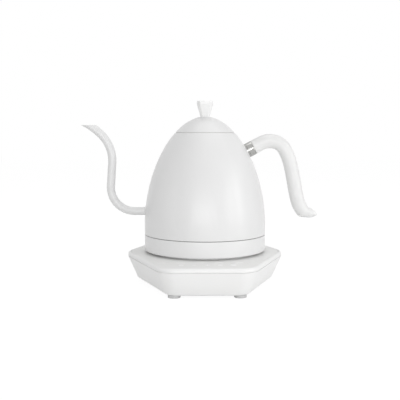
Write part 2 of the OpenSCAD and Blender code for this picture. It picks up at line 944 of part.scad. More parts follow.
module lid_seal() {
    liner_r = neck_r - lid_play - 0.4;
    color("lightgray")
    rotate_extrude()
        polygon([[liner_r + seat_gap / 2, lid_z], [liner_r + seat_gap / 2, ledge_z - 4],
                 [neck_r - lid_play, ledge_z - 4], [neck_r - lid_play, ledge_z],
                 [dome_r(ledge_z) - 1.2, ledge_z], [dome_r(ledge_z) - 1.2, lid_z]]);
}

// Square with its corners cut off, centred on the axis
module cut_square(w) {
    flat = w * 0.325;
    polygon([[-flat, -w / 2], [flat, -w / 2], [w / 2, -flat], [w / 2, flat],
             [flat, w / 2], [-flat, w / 2], [-w / 2, flat], [-w / 2, -flat]]);
}

module knob() {
    color("white")
    translate([0, 0, lid_top])
        difference() {
            union() {
                linear_extrude(height = knob_h - knob_band_h, scale = knob_w / knob_foot_w)
                    cut_square(knob_foot_w);
                translate([0, 0, knob_h - knob_band_h])
                    linear_extrude(height = knob_band_h)
                        cut_square(knob_w);
            }
            translate([0, 0, -1])
                cylinder(h = 10, r = 2);
        }
}

module knob_screw() {
    color("silver")
    translate([0, 0, lid_top - lid_wall])
        screw(4, 2.4, 1.95, lid_wall + 8.5);
}

base_housing();
top_cover();
touch_panel();
base_connector();
base_contacts();
cord_bush();
touch_board();
touch_sensors();
display_module();
board_screws();
power_board();
relay();
transformer();
capacitor();
buzzer();
terminal_block();
base_leads();
base_screws();
feet();
centre_pin();
body_shell();
neck_ring();
spout_tube();
heater_plate();
heating_element();
temperature_probe();
thermostat();
seam_seal();
skirt_ring();
lower_cover();
cover_screws();
coupler();
coupler_contacts();
coupler_leads();
handle_collar();
handle_stud();
grip_insert();
grip();
lid_shell();
lid_liner();
lid_seal();
knob();
knob_screw();
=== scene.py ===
"""White gooseneck kettle on its six-sided power base: shapes, finishes, light and camera."""

import json
import logging
import math
from collections.abc import Callable, Sequence
from dataclasses import dataclass, field
from enum import Enum

import bmesh
import bpy
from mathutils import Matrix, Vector


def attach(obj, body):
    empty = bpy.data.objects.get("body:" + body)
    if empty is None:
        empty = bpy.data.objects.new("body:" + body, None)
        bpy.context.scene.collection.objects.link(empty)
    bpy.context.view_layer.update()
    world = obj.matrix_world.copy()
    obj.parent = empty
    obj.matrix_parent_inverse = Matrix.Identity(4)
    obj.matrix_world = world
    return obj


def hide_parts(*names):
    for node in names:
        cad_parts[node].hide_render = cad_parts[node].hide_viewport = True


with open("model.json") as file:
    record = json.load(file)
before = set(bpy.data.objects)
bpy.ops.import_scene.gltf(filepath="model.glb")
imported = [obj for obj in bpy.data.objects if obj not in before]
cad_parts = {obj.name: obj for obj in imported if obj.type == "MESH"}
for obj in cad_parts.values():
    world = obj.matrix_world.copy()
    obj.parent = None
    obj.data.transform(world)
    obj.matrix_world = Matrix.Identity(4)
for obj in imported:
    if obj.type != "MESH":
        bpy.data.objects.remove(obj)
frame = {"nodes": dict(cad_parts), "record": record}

log = logging.getLogger("kettle")
MM = 0.001
Point = tuple[float, float, float]
Spot = tuple[float, float]
Profile = list[Spot]
Colour = tuple[float, float, float]
Piece = bpy.types.Object
Element = bmesh.types.BMVert | bmesh.types.BMEdge | bmesh.types.BMFace
Test = Callable[[Element], bool]
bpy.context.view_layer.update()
# What a test of place forgives, in metres and in millimetres, and what finishing merges.
NEAR = 1e-6
SLACK = 0.1
MERGE_GAP = 0.004
SMOOTH_ANGLE = 32.0
NOISE_ROUGHNESS = 0.55
BRIGHTEST = 0.95


class Body(Enum):
    """The moving groups that the pieces ride on."""

    BASE = "base"
    KETTLE = "kettle"
    LID = "lid"


class Slot(Enum):
    """The finishes that the pieces take."""

    WHITE_COAT = "white_coat"
    WHITE_PLASTIC = "white_plastic"
    PANEL = "panel"
    STEEL = "steel"
    # Darker than the other steel: painted shade for the dark surroundings that the collar mirrors.
    COLLAR_STEEL = "collar_steel"
    BRASS = "brass"
    ELEMENT = "element"
    RUBBER_GREY = "rubber_grey"
    RUBBER_DARK = "rubber_dark"
    SILICONE = "silicone"
    DARK_PLASTIC = "dark_plastic"
    BOARD = "board"
    PART_BLUE = "part_blue"
    PART_YELLOW = "part_yellow"
    DISPLAY = "display"
    LEAD_RED = "lead_red"


class Look(Enum):
    """Finishes of single pieces that differ a little from their slot's: a lighter copy of the white
    plastic, which is painted light, and a painted glow on the printed marks.
    """

    # Painted light: the base and the knob take a lighter copy of the white plastic, for the extra
    # light that they catch.
    BRIGHT_PLASTIC = "bright_white_plastic"
    # Painted light: the printed marks glow a little, though they are no lamp.
    MARK_PRINT = "lit_mark_print"


class Kind(Enum):
    """The elements of a mesh."""

    VERT = "VERT"
    EDGE = "EDGE"
    FACE = "FACE"


class Axis(Enum):
    """The axes that a shape can be turned about."""

    X = "X"
    Y = "Y"
    Z = "Z"


class Merge(Enum):
    """The ways to combine two blocks."""

    ADD = "UNION"
    CUT = "DIFFERENCE"


# ---------------------------------------------------------------- shaping tools


class Bench:
    """Shaping tools for one mesh at a time. Lengths are in millimetres and angles in degrees."""

    @staticmethod
    def put_down() -> None:
        """Leave edit mode and let go of everything."""
        if bpy.context.mode != "OBJECT":
            bpy.ops.object.mode_set(mode="OBJECT")
        bpy.ops.object.select_all(action="DESELECT")

    @classmethod
    def take(cls, piece: Piece) -> None:
        """Pick up one piece in object mode.

        Args:
            piece: The piece to pick up.
        """
        cls.put_down()
        bpy.context.view_layer.objects.active = piece
        piece.select_set(True)

    @classmethod
    def open(cls, piece: Piece) -> None:
        """Pick up one piece in edit mode."""
        cls.take(piece)
        bpy.ops.object.mode_set(mode="EDIT")

    @classmethod
    def _new(cls, name: str, add: Callable[..., object], centre: Point,
             **settings: object) -> Piece:
        """Add a primitive, put its place into its mesh, and open it with all of it selected.

        Args:
            name: The piece's name.
            add: Adds the primitive.
            centre: The primitive's middle.
            settings: The primitive's other settings, by name.

        Returns:
            The new piece, in edit mode.
        """
        cls.put_down()
        add(location=[c * MM for c in centre], **settings)
        piece = bpy.context.object
        piece.name = piece.data.name = name
        bpy.ops.object.transform_apply(location=True, rotation=True, scale=True)
        cls.open(piece)
        bpy.ops.mesh.select_mode(type="VERT")
        bpy.ops.mesh.select_all(action="SELECT")
        return piece

    @classmethod
    def ring(cls, name: str, radius: float, centre: Point, tilt: float = 0.0, sides: int = 48,
             filled: bool = False) -> Piece:
        """Add a circle.

        Args:
            name: The piece's name.
            radius: The circle's radius.
            centre: The circle's middle.
            tilt: The turn about Y of a circle that starts level.
            sides: The number of its vertices.
            filled: Whether the circle has a face.

        Returns:
            The new piece, in edit mode.
        """
        return cls._new(name, bpy.ops.mesh.primitive_circle_add, centre, vertices=sides,
                        radius=radius * MM, fill_type="NGON" if filled else "NOTHING",
                        rotation=(0, math.radians(tilt), 0))

    @classmethod
    def slab(cls, name: str, size: Point, centre: Point) -> Piece:
        """Add a block by its lengths and its middle."""
        return cls._new(name, bpy.ops.mesh.primitive_cube_add, centre, size=1,
                        scale=[s * MM for s in size])

    @classmethod
    def square(cls, name: str, size: float, height: float) -> Piece:
        """Add a level square face at a height."""
        return cls._new(name, bpy.ops.mesh.primitive_plane_add, (0, 0, height), size=size * MM)

    @staticmethod
    def grow(move: Point) -> None:
        """Extrude what is selected by a move."""
        bpy.ops.mesh.extrude_region_move(TRANSFORM_OT_translate={"value": [m * MM for m in move]})

    @staticmethod
    def scale(factor: Point, centre: Point) -> None:
        """Scale what is selected about a point."""
        bpy.ops.transform.resize(value=factor, center_override=[c * MM for c in centre])

    @staticmethod
    def turn(angle: float, centre: Point, axis: Axis = Axis.Y) -> None:
        """Turn what is selected, right-handed, about an axis through a point."""
        bpy.ops.transform.rotate(value=-math.radians(angle), orient_axis=axis.value,
                                 orient_type="GLOBAL", center_override=[c * MM for c in centre])

    @staticmethod
    def shift(move: Point) -> None:
        """Move what is selected."""
        bpy.ops.transform.translate(value=[m * MM for m in move])

    @staticmethod
    def inset(thickness: float, depth: float = 0.0) -> None:
        """Inset the selected faces, and lift them by a depth."""
        bpy.ops.mesh.inset(thickness=thickness * MM, depth=depth * MM, use_even_offset=True)

    @staticmethod
    def pick(piece: Piece, kind: Kind, test: Test) -> None:
        """Select the elements of an open piece that pass a test.

        Args:
            piece: The open piece.
            kind: What is selected.
            test: Says whether an element is selected.
        """
        bpy.ops.mesh.select_mode(type=kind.value)
        bpy.ops.mesh.select_all(action="DESELECT")
        mesh = bmesh.from_edit_mesh(piece.data)
        for item in {Kind.VERT: mesh.verts, Kind.EDGE: mesh.edges, Kind.FACE: mesh.faces}[kind]:
            if test(item):
                item.select_set(True)
        mesh.select_flush_mode()
        bmesh.update_edit_mesh(piece.data)

    @staticmethod
    def bevel(width: float, segments: int, corners: bool = False, profile: float = 0.5) -> None:
        """Round the selected edges, or cut or round the selected corners."""
        bpy.ops.mesh.bevel(offset=width * MM, segments=segments, profile=profile,
                           affect="VERTICES" if corners else "EDGES", clamp_overlap=True)

    @classmethod
    def round(cls, piece: Piece, width: float, segments: int, test: Test) -> None:
        """Round the edges of an open piece that pass a test."""
        cls.pick(piece, Kind.EDGE, test)
        cls.bevel(width, segments)

    @classmethod
    def all_of(cls, piece: Piece) -> None:
        """Pick up one piece in edit mode with all of it selected."""
        cls.open(piece)
        bpy.ops.mesh.select_all(action="SELECT")

    @classmethod
    def place(cls, piece: Piece, move: Point, angle: float = 0.0,
              axis: Axis = Axis.Y) -> Piece:
        """Turn a piece's mesh about an axis through the origin, then move it.

        Args:
            piece: The piece to place.
            move: The move after the turn.
            angle: The turn.
            axis: The axis of the turn.

        Returns:
            The same piece, in object mode.
        """
        cls.all_of(piece)
        if angle:
            cls.turn(angle, (0, 0, 0), axis)
        cls.shift(move)
        cls.put_down()
        return piece

    @classmethod
    def finish(cls, piece: Piece, angle: float = SMOOTH_ANGLE) -> Piece:
        """Merge doubles, point all faces outwards and shade the soft edges smooth.

        Args:
            piece: The piece to close.
            angle: The sharpest angle that is still shaded smooth.

        Returns:
            The same piece, in object mode.
        """
        cls.open(piece)
        bpy.ops.mesh.select_mode(type="VERT")
        bpy.ops.mesh.select_all(action="SELECT")
        bpy.ops.mesh.remove_doubles(threshold=MERGE_GAP * MM)
        bpy.ops.mesh.select_all(action="SELECT")
        bpy.ops.mesh.normals_make_consistent(inside=False)
        cls.take(piece)
        bpy.ops.object.shade_smooth_by_angle(angle=math.radians(angle))
        cls.put_down()
        return piece

    @classmethod
    def lathe(cls, name: str, profile: Profile, sides: int = 96) -> Piece:
        """Turn a closed outline of (radius, height) points about the Z axis.

        Args:
            name: The piece's name.
            profile: The outline's points, in order.
            sides: The number of faces round the axis.

        Returns:
            The finished piece.
        """
        radius, height = profile[0]
        piece = cls.ring(name, radius, (0, 0, height), sides=sides)
        for r, z in profile[1:] + [profile[0]]:
            cls.grow((0, 0, z - height))
            cls.scale((r / radius, r / radius, 1), (0, 0, z))
            radius, height = r, z
        return cls.finish(piece)

    @classmethod
    def sweep(cls, name: str, stations: Sequence["Station"], sides: int = 40,
              oval: float = 1.0) -> Piece:
        """Carry a ring along stations in the XZ plane.

        Args:
            name: The piece's name.
            stations: The places that the ring passes.
            sides: The number of faces round the bar.
            oval: The bar's width as a share of its thickness.

        Returns:
            The open skin, in edit mode, with the last ring selected.
        """
        last = stations[0]
        piece = cls.ring(name, last.radius, (last.x, 0, last.z), 90 - last.heading, sides)
        cls.scale((1, oval, 1), (last.x, 0, last.z))
        for here in stations[1:]:
            cls.grow((here.x - last.x, 0, here.z - last.z))
            centre = (here.x, 0, here.z)
            if abs(here.heading - last.heading) > NEAR:
                cls.turn(last.heading - here.heading, centre)
            if abs(here.radius - last.radius) > NEAR:
                cls.scale((here.radius / last.radius,) * 3, centre)
            last = here
        return piece

    @classmethod
    def _apply(cls, piece: Piece, kind: str, **settings: object) -> None:
        """Add a modifier with its settings, and apply it.

        Args:
            piece: The piece to change.
            kind: The modifier's type.
            settings: The modifier's settings, by name.
        """
        modifier = piece.modifiers.new(kind.lower(), kind)
        for key, value in settings.items():
            setattr(modifier, key, value)
        cls.take(piece)
        bpy.ops.object.modifier_apply(modifier=modifier.name)

    @classmethod
    def wall(cls, piece: Piece, thickness: float) -> None:
        """Give an open skin a wall on its inner side."""
        cls._apply(piece, "SOLIDIFY", thickness=thickness * MM, offset=-1, use_even_offset=True)

    @classmethod
    def combine(cls, piece: Piece, others: Sequence[Piece], merge: Merge) -> None:
        """Add other blocks to a piece, or cut them from it, and drop them.

        Args:
            piece: The piece that is kept.
            others: The blocks that are used up.
            merge: Whether they are added or cut.
        """
        for other in others:
            cls._apply(piece, "BOOLEAN", operation=merge.value, solver="EXACT", object=other)
            bpy.data.objects.remove(other)

    @classmethod
    def rod(cls, radius: float, start: Point, length: float, axis: Axis = Axis.Z,
            sides: int = 48) -> Piece:
        """Make a closed rod along Z or Y, as a boss or as a cutter.

        Args:
            radius: The rod's radius.
            start: The middle of its low end.
            length: Its length.
            axis: Z or Y.
            sides: The number of its faces.

        Returns:
            The rod, in object mode.
        """
        piece = cls.ring("rod", radius, (0, 0, 0), sides=sides, filled=True)
        cls.grow((0, 0, length))
        bpy.ops.mesh.select_all(action="SELECT")
        if axis is Axis.Y:
            cls.turn(-90, (0, 0, 0), Axis.X)
        cls.shift(start)
        return cls.finish(piece)

    @classmethod
    def join(cls, pieces: Sequence[Piece], name: str) -> Piece:
        """Make one piece of several.

        Args:
            pieces: The pieces to join.
            name: The name of the whole.

        Returns:
            The joined piece.
        """
        cls.take(pieces[0])
        for piece in pieces:
            piece.select_set(True)
        bpy.ops.object.join()
        pieces[0].name = pieces[0].data.name = name
        cls.put_down()
        return pieces[0]

    @classmethod
    def copy(cls, piece: Piece, name: str, move: Point) -> Piece:
        """Copy a piece with its own mesh, and move the copy's mesh.

        Args:
            piece: The piece to copy.
            name: The copy's name.
            move: The copy's move.

        Returns:
            The copy.
        """
        cls.take(piece)
        bpy.ops.object.duplicate(linked=False)
        twin = bpy.context.object
        twin.name = twin.data.name = name
        return cls.place(twin, move)


def is_level(height: float) -> Test:
    """Test for edges and faces that lie at a height."""
    return lambda item: all(abs(v.co.z - height * MM) < NEAR for v in item.verts)


def is_rim(edge: bmesh.types.BMEdge) -> bool:
    """Whether an edge borders a hole."""
    return len(edge.link_faces) == 1


def is_by_slope(edge: bmesh.types.BMEdge, share: float) -> bool:
    """Whether a face beside an edge isn't level: its normal's upward part is below a share."""
    return any(abs(face.normal.z) < share for face in edge.link_faces)


def is_sharp(edge: bmesh.types.BMEdge, angle: float = 60.0) -> bool:
    """Whether an edge's faces meet at more than an angle."""
    return edge.calc_face_angle(0) > math.radians(angle)


@dataclass(frozen=True)
class Station:
    """One place along a bent bar: its middle, the heading in degrees and the radius."""

    x: float
    z: float
    heading: float
    radius: float


def fillet(corners: Profile, radii: dict[int, float], steps: int = 4) -> Profile:
    """Round some corners of a closed outline.

    Args:
        corners: The outline's points, in order.
        radii: The rounding of a corner, by its index.
        steps: The number of segments in each rounding.

    Returns:
        The outline with arcs in place of those corners.
    """
    made: Profile = []
    for i, corner in enumerate(corners):
        if i not in radii:
            made.append(corner)
            continue
        here = Vector(corner)
        before = (Vector(corners[i - 1]) - here).normalized()
        after = (Vector(corners[(i + 1) % len(corners)]) - here).normalized()
        half = before.angle(after) / 2
        reach = radii[i] / math.tan(half)
        middle = here + (before + after).normalized() * radii[i] / math.sin(half)
        start, end = here + before * reach - middle, here + after * reach - middle
        for k in range(steps + 1):
            spoke = start.slerp(end, k / steps).normalized() * radii[i]
            made.append(tuple(middle + spoke))
    return made


# ---------------------------------------------------------------- finishes


class Wire:
    """One output of a node. Sums on it add Math nodes."""

    def __init__(self, desk: "NodeDesk", socket: bpy.types.NodeSocket) -> None:
        """Wrap a socket of a desk's tree."""
        self.desk = desk
        self.socket = socket

    def _math(self, operation: str, other: "Wire | float") -> "Wire":
        """Add one Math node and return its result."""
        return self.desk.add("ShaderNodeMath", {"operation": operation}, {0: self, 1: other})

    def __add__(self, other: "Wire | float") -> "Wire":
        """Sum."""
        return self._math("ADD", other)

    def __mul__(self, other: "Wire | float") -> "Wire":
        """Product."""
        return self._math("MULTIPLY", other)

    def __pow__(self, other: float) -> "Wire":
        """Power."""
        return self._math("POWER", other)

    def at_least(self, other: "Wire | float") -> "Wire":
        """The larger of the two."""
        return self._math("MAXIMUM", other)


class NodeDesk:
    """Adds nodes to one tree, and wires them."""

    def __init__(self, tree: bpy.types.NodeTree) -> None:
        """Start with an empty tree."""
        self.tree = tree
        tree.nodes.clear()

    def add(self, kind: str, settings: dict[str, object] | None = None,
            inputs: dict[int | str, object] | None = None, output: int | str = 0) -> Wire | None:
        """Add any node.

        Args:
            kind: The node's type.
            settings: Its settings, which are set first. "stops" fills a colour ramp.
            inputs: The value or the wire of each of its sockets.
            output: The output that is returned.

        Returns:
            The chosen output, or nothing where the node has none.
        """
        node = self.tree.nodes.new(kind)
        for key, value in (settings or {}).items():
            if key == "stops":
                self._fill_ramp(node.color_ramp, value)
            else:
                setattr(node, key, value)
        self.fill(node, inputs or {})
        return Wire(self, node.outputs[output]) if node.outputs else None

    def fill(self, node: bpy.types.Node, inputs: dict[int | str, object]) -> None:
        """Give some of a node's sockets a value or a wire.

        Args:
            node: The node to fill.
            inputs: What each of its sockets gets.
        """
        for key, value in inputs.items():
            if isinstance(value, Wire):
                self.tree.links.new(value.socket, node.inputs[key])
            else:
                node.inputs[key].default_value = value

    def beside(self, wire: Wire, *names: int | str) -> list[Wire]:
        """Other outputs of the node that a wire comes from."""
        return [Wire(self, wire.socket.node.outputs[name]) for name in names]

    def seen_rays(self) -> Wire:
        """Tell the rays from the camera, off gloss or through glass from the rest.

        Returns:
            One for such a ray, and nought for any other.
        """
        path = self.add("ShaderNodeLightPath")
        camera, glossy, through = self.beside(
            path, "Is Camera Ray", "Is Glossy Ray", "Is Transmission Ray")
        return camera.at_least(glossy).at_least(through)

    @staticmethod
    def _fill_ramp(ramp: bpy.types.ColorRamp, stops: Sequence[Spot]) -> None:
        """Set a ramp's stops, each a position and a grey level.

        Args:
            ramp: The ramp of two stops.
            stops: The stops, in order.
        """
        while len(ramp.elements) < len(stops):
            ramp.elements.new(0.5)
        for element, (position, level) in zip(ramp.elements, stops):
            element.position = position
            element.color = (level, level, level, 1)


class PaintShop(NodeDesk):
    """Builds the node tree of one material on the piece's own coordinates."""

    def __init__(self, name: str) -> None:
        """Start a material with one surface shader.

        Args:
            name: The material's name.
        """
        self.material = bpy.data.materials.new(name)
        self.material.use_nodes = True
        super().__init__(self.material.node_tree)
        self.shader = self.tree.nodes.new("ShaderNodeBsdfPrincipled")
        self.output = self.tree.nodes.new("ShaderNodeOutputMaterial")
        self.tree.links.new(self.shader.outputs[0], self.output.inputs[0])
        self.place = self.add("ShaderNodeTexCoord", output="Object")

    def set(self, **values: object) -> None:
        """Set the shader's own sockets, where _ stands for a space."""
        self.fill(self.shader, {key.replace("_", " "): value for key, value in values.items()})

    def noise(self, per_metre: float, detail: float = 2.0, where: Wire | None = None) -> Wire:
        """Soft random pattern with that many blotches to a metre."""
        inputs = {"Vector": where or self.place, "Scale": per_metre, "Detail": detail}
        return self.add("ShaderNodeTexNoise", {}, {**inputs, "Roughness": NOISE_ROUGHNESS})

    def grain(self, where: Wire, per_metre: float) -> Wire:
        """Fine turned lines round the Z axis of a set of coordinates.

        Args:
            where: The coordinates.
            per_metre: The number of lines to a metre.

        Returns:
            The pattern.
        """
        x, y, z = self.beside(self.add("ShaderNodeSeparateXYZ", {}, {0: where}), 0, 1, 2)
        radius = (x * x + y * y) ** 0.5
        flat = self.add("ShaderNodeCombineXYZ", {}, {0: radius * per_metre, 1: z * per_metre})
        return self.noise(1.0, 3.0, flat)

    def turned(self, centre: Point, tilt: float) -> Wire:
        """Coordinates centred on a point in millimetres and turned about Y by an angle.

        Args:
            centre: The point.
            tilt: The turn.

        Returns:
            The coordinates.
        """
        moved = self.add("ShaderNodeVectorMath", {"operation": "SUBTRACT"}, {
            0: self.place, 1: [c * MM for c in centre]})
        return self.add("ShaderNodeMapping", {"vector_type": "POINT"}, {
            "Vector": moved, "Rotation": (0, -math.radians(tilt), 0)})

    def blend(self, factor: Wire, low: Colour, high: Colour) -> Wire:
        """Colour that goes from one to another."""
        return self.add("ShaderNodeMix", {"data_type": "RGBA"}, {
            0: factor, 6: (*low, 1), 7: (*high, 1)}, 2)

    def bump(self, height: Wire, depth: float, under: Wire | None = None) -> Wire:
        """Surface relief of a depth in millimetres, on top of another one if given."""
        below = {} if under is None else {"Normal": under}
        return self.add("ShaderNodeBump", {}, {"Height": height, "Distance": depth * MM, **below})


@dataclass(frozen=True)
class Finish:
    """A plain finish with cloudy tone, cloudy gloss and a fine relief."""

    colour: Colour
    roughness: float
    tone: float = 0.03
    cloud: float = 40.0
    gloss_change: float = 0.05
    relief: float = 0.01
    relief_per_metre: float = 1500.0
    metallic: float = 0.0
    specular: float = 0.5
    coat: float = 0.0
    coat_roughness: float = 0.1
    # An emission that makes the finish glow; on the printed marks it is a painted glow.
    glow: float = 0.0

    def shades(self) -> tuple[Colour, Colour]:
        """The darkest and the lightest tone of the colour."""
        return (tuple(c * (1 - self.tone) for c in self.colour),
                tuple(min(c * (1 + self.tone), BRIGHTEST) for c in self.colour))

    def paint(self, name: str) -> bpy.types.Material:
        """Make the material of this finish.

        Args:
            name: The material's name.

        Returns:
            The new material.
        """
        shop = PaintShop(name)
        clouds = shop.noise(self.cloud, 3.0)
        shop.set(
            Base_Color=shop.blend(clouds, *self.shades()), Metallic=self.metallic,
            Roughness=clouds * (2 * self.gloss_change) + (self.roughness - self.gloss_change),
            Specular_IOR_Level=self.specular, Coat_Weight=self.coat,
            Coat_Roughness=self.coat_roughness, Emission_Strength=self.glow,
            Normal=self.surface(shop))
        return shop.material

    def surface(self, shop: PaintShop) -> Wire:
        """The relief of the surface."""
        return shop.bump(shop.noise(self.relief_per_metre), self.relief)


@dataclass(frozen=True)
class PowderCoat(Finish):
    """Baked powder coating: a soft orange peel over very fine grit."""

    peel: float = 0.02
    peel_per_metre: float = 420.0

    def surface(self, shop: PaintShop) -> Wire:
        """Orange peel with grit on it."""
        peel = shop.bump(shop.noise(self.peel_per_metre, 1.0), self.peel)
        return shop.bump(shop.noise(self.relief_per_metre), self.relief, peel)


@dataclass(frozen=True)
class TurnedMetal(Finish):
    """Bare metal with the fine lines of a lathe, round an axis that may be tilted."""

    centre: Point = (0.0, 0.0, 0.0)
    tilt: float = 0.0
    lines_per_metre: float = 6000.0
    line_depth: float = 0.002

    def surface(self, shop: PaintShop) -> Wire:
        """Lathe lines over small dents.

        Args:
            shop: Where the material is built.

        Returns:
            The normal.
        """
        lines = shop.grain(shop.turned(self.centre, self.tilt), self.lines_per_metre)
        dents = shop.bump(shop.noise(self.relief_per_metre), self.relief)
        return shop.bump(lines, self.line_depth, dents)


@dataclass(frozen=True)
class BoardFinish(Finish):
    """Circuit board: a green lacquer over thin copper tracks."""

    track: Colour = (0.09, 0.30, 0.14)
    tracks_per_metre: float = 260.0
    track_edge: Spot = (0.36, 0.42)
    track_height: float = 0.02
    track_roughness: float = 0.12

    def paint(self, name: str) -> bpy.types.Material:
        """Make the material of this finish.

        Args:
            name: The material's name.

        Returns:
            The new material.
        """
        shop = PaintShop(name)
        cells = shop.add("ShaderNodeTexVoronoi", {"distance": "CHEBYCHEV", "feature": "F1"}, {
            "Vector": shop.place, "Scale": self.tracks_per_metre})
        stops = tuple(zip(self.track_edge, (0.0, 1.0)))
        lines = shop.add("ShaderNodeValToRGB", {"stops": stops}, {0: cells})
        shop.set(Base_Color=shop.blend(lines, self.colour, self.track),
                 Roughness=lines * self.track_roughness + self.roughness,
                 Normal=shop.bump(lines, self.track_height))
        return shop.material


@dataclass(frozen=True)
class Palette:
    """Every finish on the kettle and its base. The collar's lines run round its own axis."""

    collar_centre: Point
    collar_tilt: float

    def finishes(self) -> dict[Slot | Look, Finish]:
        """The finish of each slot, and those of single pieces.

        Returns:
            The finishes by their names.
        """
        white = (0.80, 0.80, 0.80)
        return {
            Slot.WHITE_COAT: PowderCoat(white, 0.36, tone=0.008, relief=0.006, coat=0.15,
                                        coat_roughness=0.22),
            Slot.WHITE_PLASTIC: Finish((0.82, 0.82, 0.815), 0.38, tone=0.008, relief=0.008,
                                       relief_per_metre=2600, gloss_change=0.04),
            Slot.PANEL: Finish((0.90, 0.90, 0.89), 0.42, tone=0.02, cloud=55, gloss_change=0.04,
                               relief=0.003, specular=0.2),
            Slot.STEEL: TurnedMetal((0.62, 0.615, 0.60), 0.26, metallic=1.0, relief=0.004),
            # The collar's steel is darker than the other steel: painted shade, standing in for the
            # dark surroundings that a polished collar mirrors.
            Slot.COLLAR_STEEL: TurnedMetal(
                (0.42, 0.42, 0.41), 0.20, metallic=1.0, relief=0.003, centre=self.collar_centre,
                tilt=self.collar_tilt, lines_per_metre=4200, line_depth=0.0015),
            Slot.BRASS: TurnedMetal((0.80, 0.60, 0.28), 0.28, metallic=1.0, tone=0.08,
                                    relief=0.005),
            Slot.ELEMENT: Finish((0.16, 0.16, 0.165), 0.48, tone=0.25, metallic=0.8, relief=0.02,
                                 gloss_change=0.12),
            Slot.RUBBER_GREY: Finish((0.60, 0.60, 0.60), 0.72, tone=0.04, relief=0.02),
            Slot.RUBBER_DARK: Finish((0.10, 0.10, 0.10), 0.70, tone=0.10, relief=0.02),
            Slot.SILICONE: Finish((0.62, 0.62, 0.61), 0.55, tone=0.03, relief=0.01),
            Slot.DARK_PLASTIC: Finish((0.07, 0.07, 0.075), 0.46, tone=0.12, relief=0.015),
            Slot.BOARD: BoardFinish((0.03, 0.19, 0.08), 0.32),
            Slot.PART_BLUE: Finish((0.05, 0.13, 0.36), 0.40, tone=0.10, relief=0.01),
            Slot.PART_YELLOW: Finish((0.72, 0.52, 0.08), 0.45, tone=0.08, relief=0.02),
            Slot.DISPLAY: Finish((0.035, 0.035, 0.04), 0.14, tone=0.10, relief=0.002, coat=0.5),
            Slot.LEAD_RED: Finish((0.50, 0.07, 0.05), 0.50, tone=0.08, relief=0.01),
            # A lighter copy of the white plastic: painted light on the base and the knob.
            Look.BRIGHT_PLASTIC: Finish((0.90, 0.90, 0.895), 0.36, tone=0.006, relief=0.008,
                                        relief_per_metre=2200, gloss_change=0.04),
            # The printed marks glow a little, though they are no lamp: a painted glow that lightens
            # them.
            Look.MARK_PRINT: Finish((0.93, 0.93, 0.93), 0.45, tone=0.01, relief=0.004,
                                    specular=0.2, glow=0.22),
        }

    def materials(self) -> dict[Slot | Look, bpy.types.Material]:
        """Make one material for each finish."""
        return {key: finish.paint(key.value) for key, finish in self.finishes().items()}


MATERIALS: dict[Slot | Look, bpy.types.Material] = {}


def dress(piece: Piece, slot: Slot, body: Body, *nodes: str,
          look: Look | None = None) -> Piece:
    """Give a piece its finish and its body, and hide the CAD nodes that it stands for.

    Args:
        piece: The finished piece.
        slot: Its finish.
        body: The body that it rides on.
        nodes: The CAD nodes that it replaces.
        look: A finish of its own, in place of its slot's.

    Returns:
        The same piece.
    """
    if not piece.data.materials:
        piece.data.materials.append(MATERIALS[look or slot])
    if nodes:
        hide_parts(*nodes)
    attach(piece, body.value)
    return piece


# ---------------------------------------------------------------- shared sizes


@dataclass(frozen=True)
class Dome:
    """The curve that the body and the lid share, and the heights along it, in millimetres."""

    radius: float = 69.5
    start: float = 67.5
    height: float = 121.0
    rise: float = 1.8
    full: float = 1.9
    seam: float = 170.1
    ledge: float = 169.5
    top: float = 187.7

    def at(self, z: float) -> float:
        """The outer radius at a height.

        Args:
            z: The height.

        Returns:
            The radius.
        """
        if z <= self.start:
            return self.radius
        share = (z - self.start) / self.height
        return self.radius * (1 - share ** self.rise) ** (1 / self.full)

    def line(self, low: float, high: float, steps: int, inset: float = 0.0) -> Profile:
        """Points up the curve, set inwards by an inset."""
        levels = [low + (high - low) * i / steps for i in range(steps + 1)]
        return [(self.at(z) - inset, z) for z in levels]


# ---------------------------------------------------------------- kettle


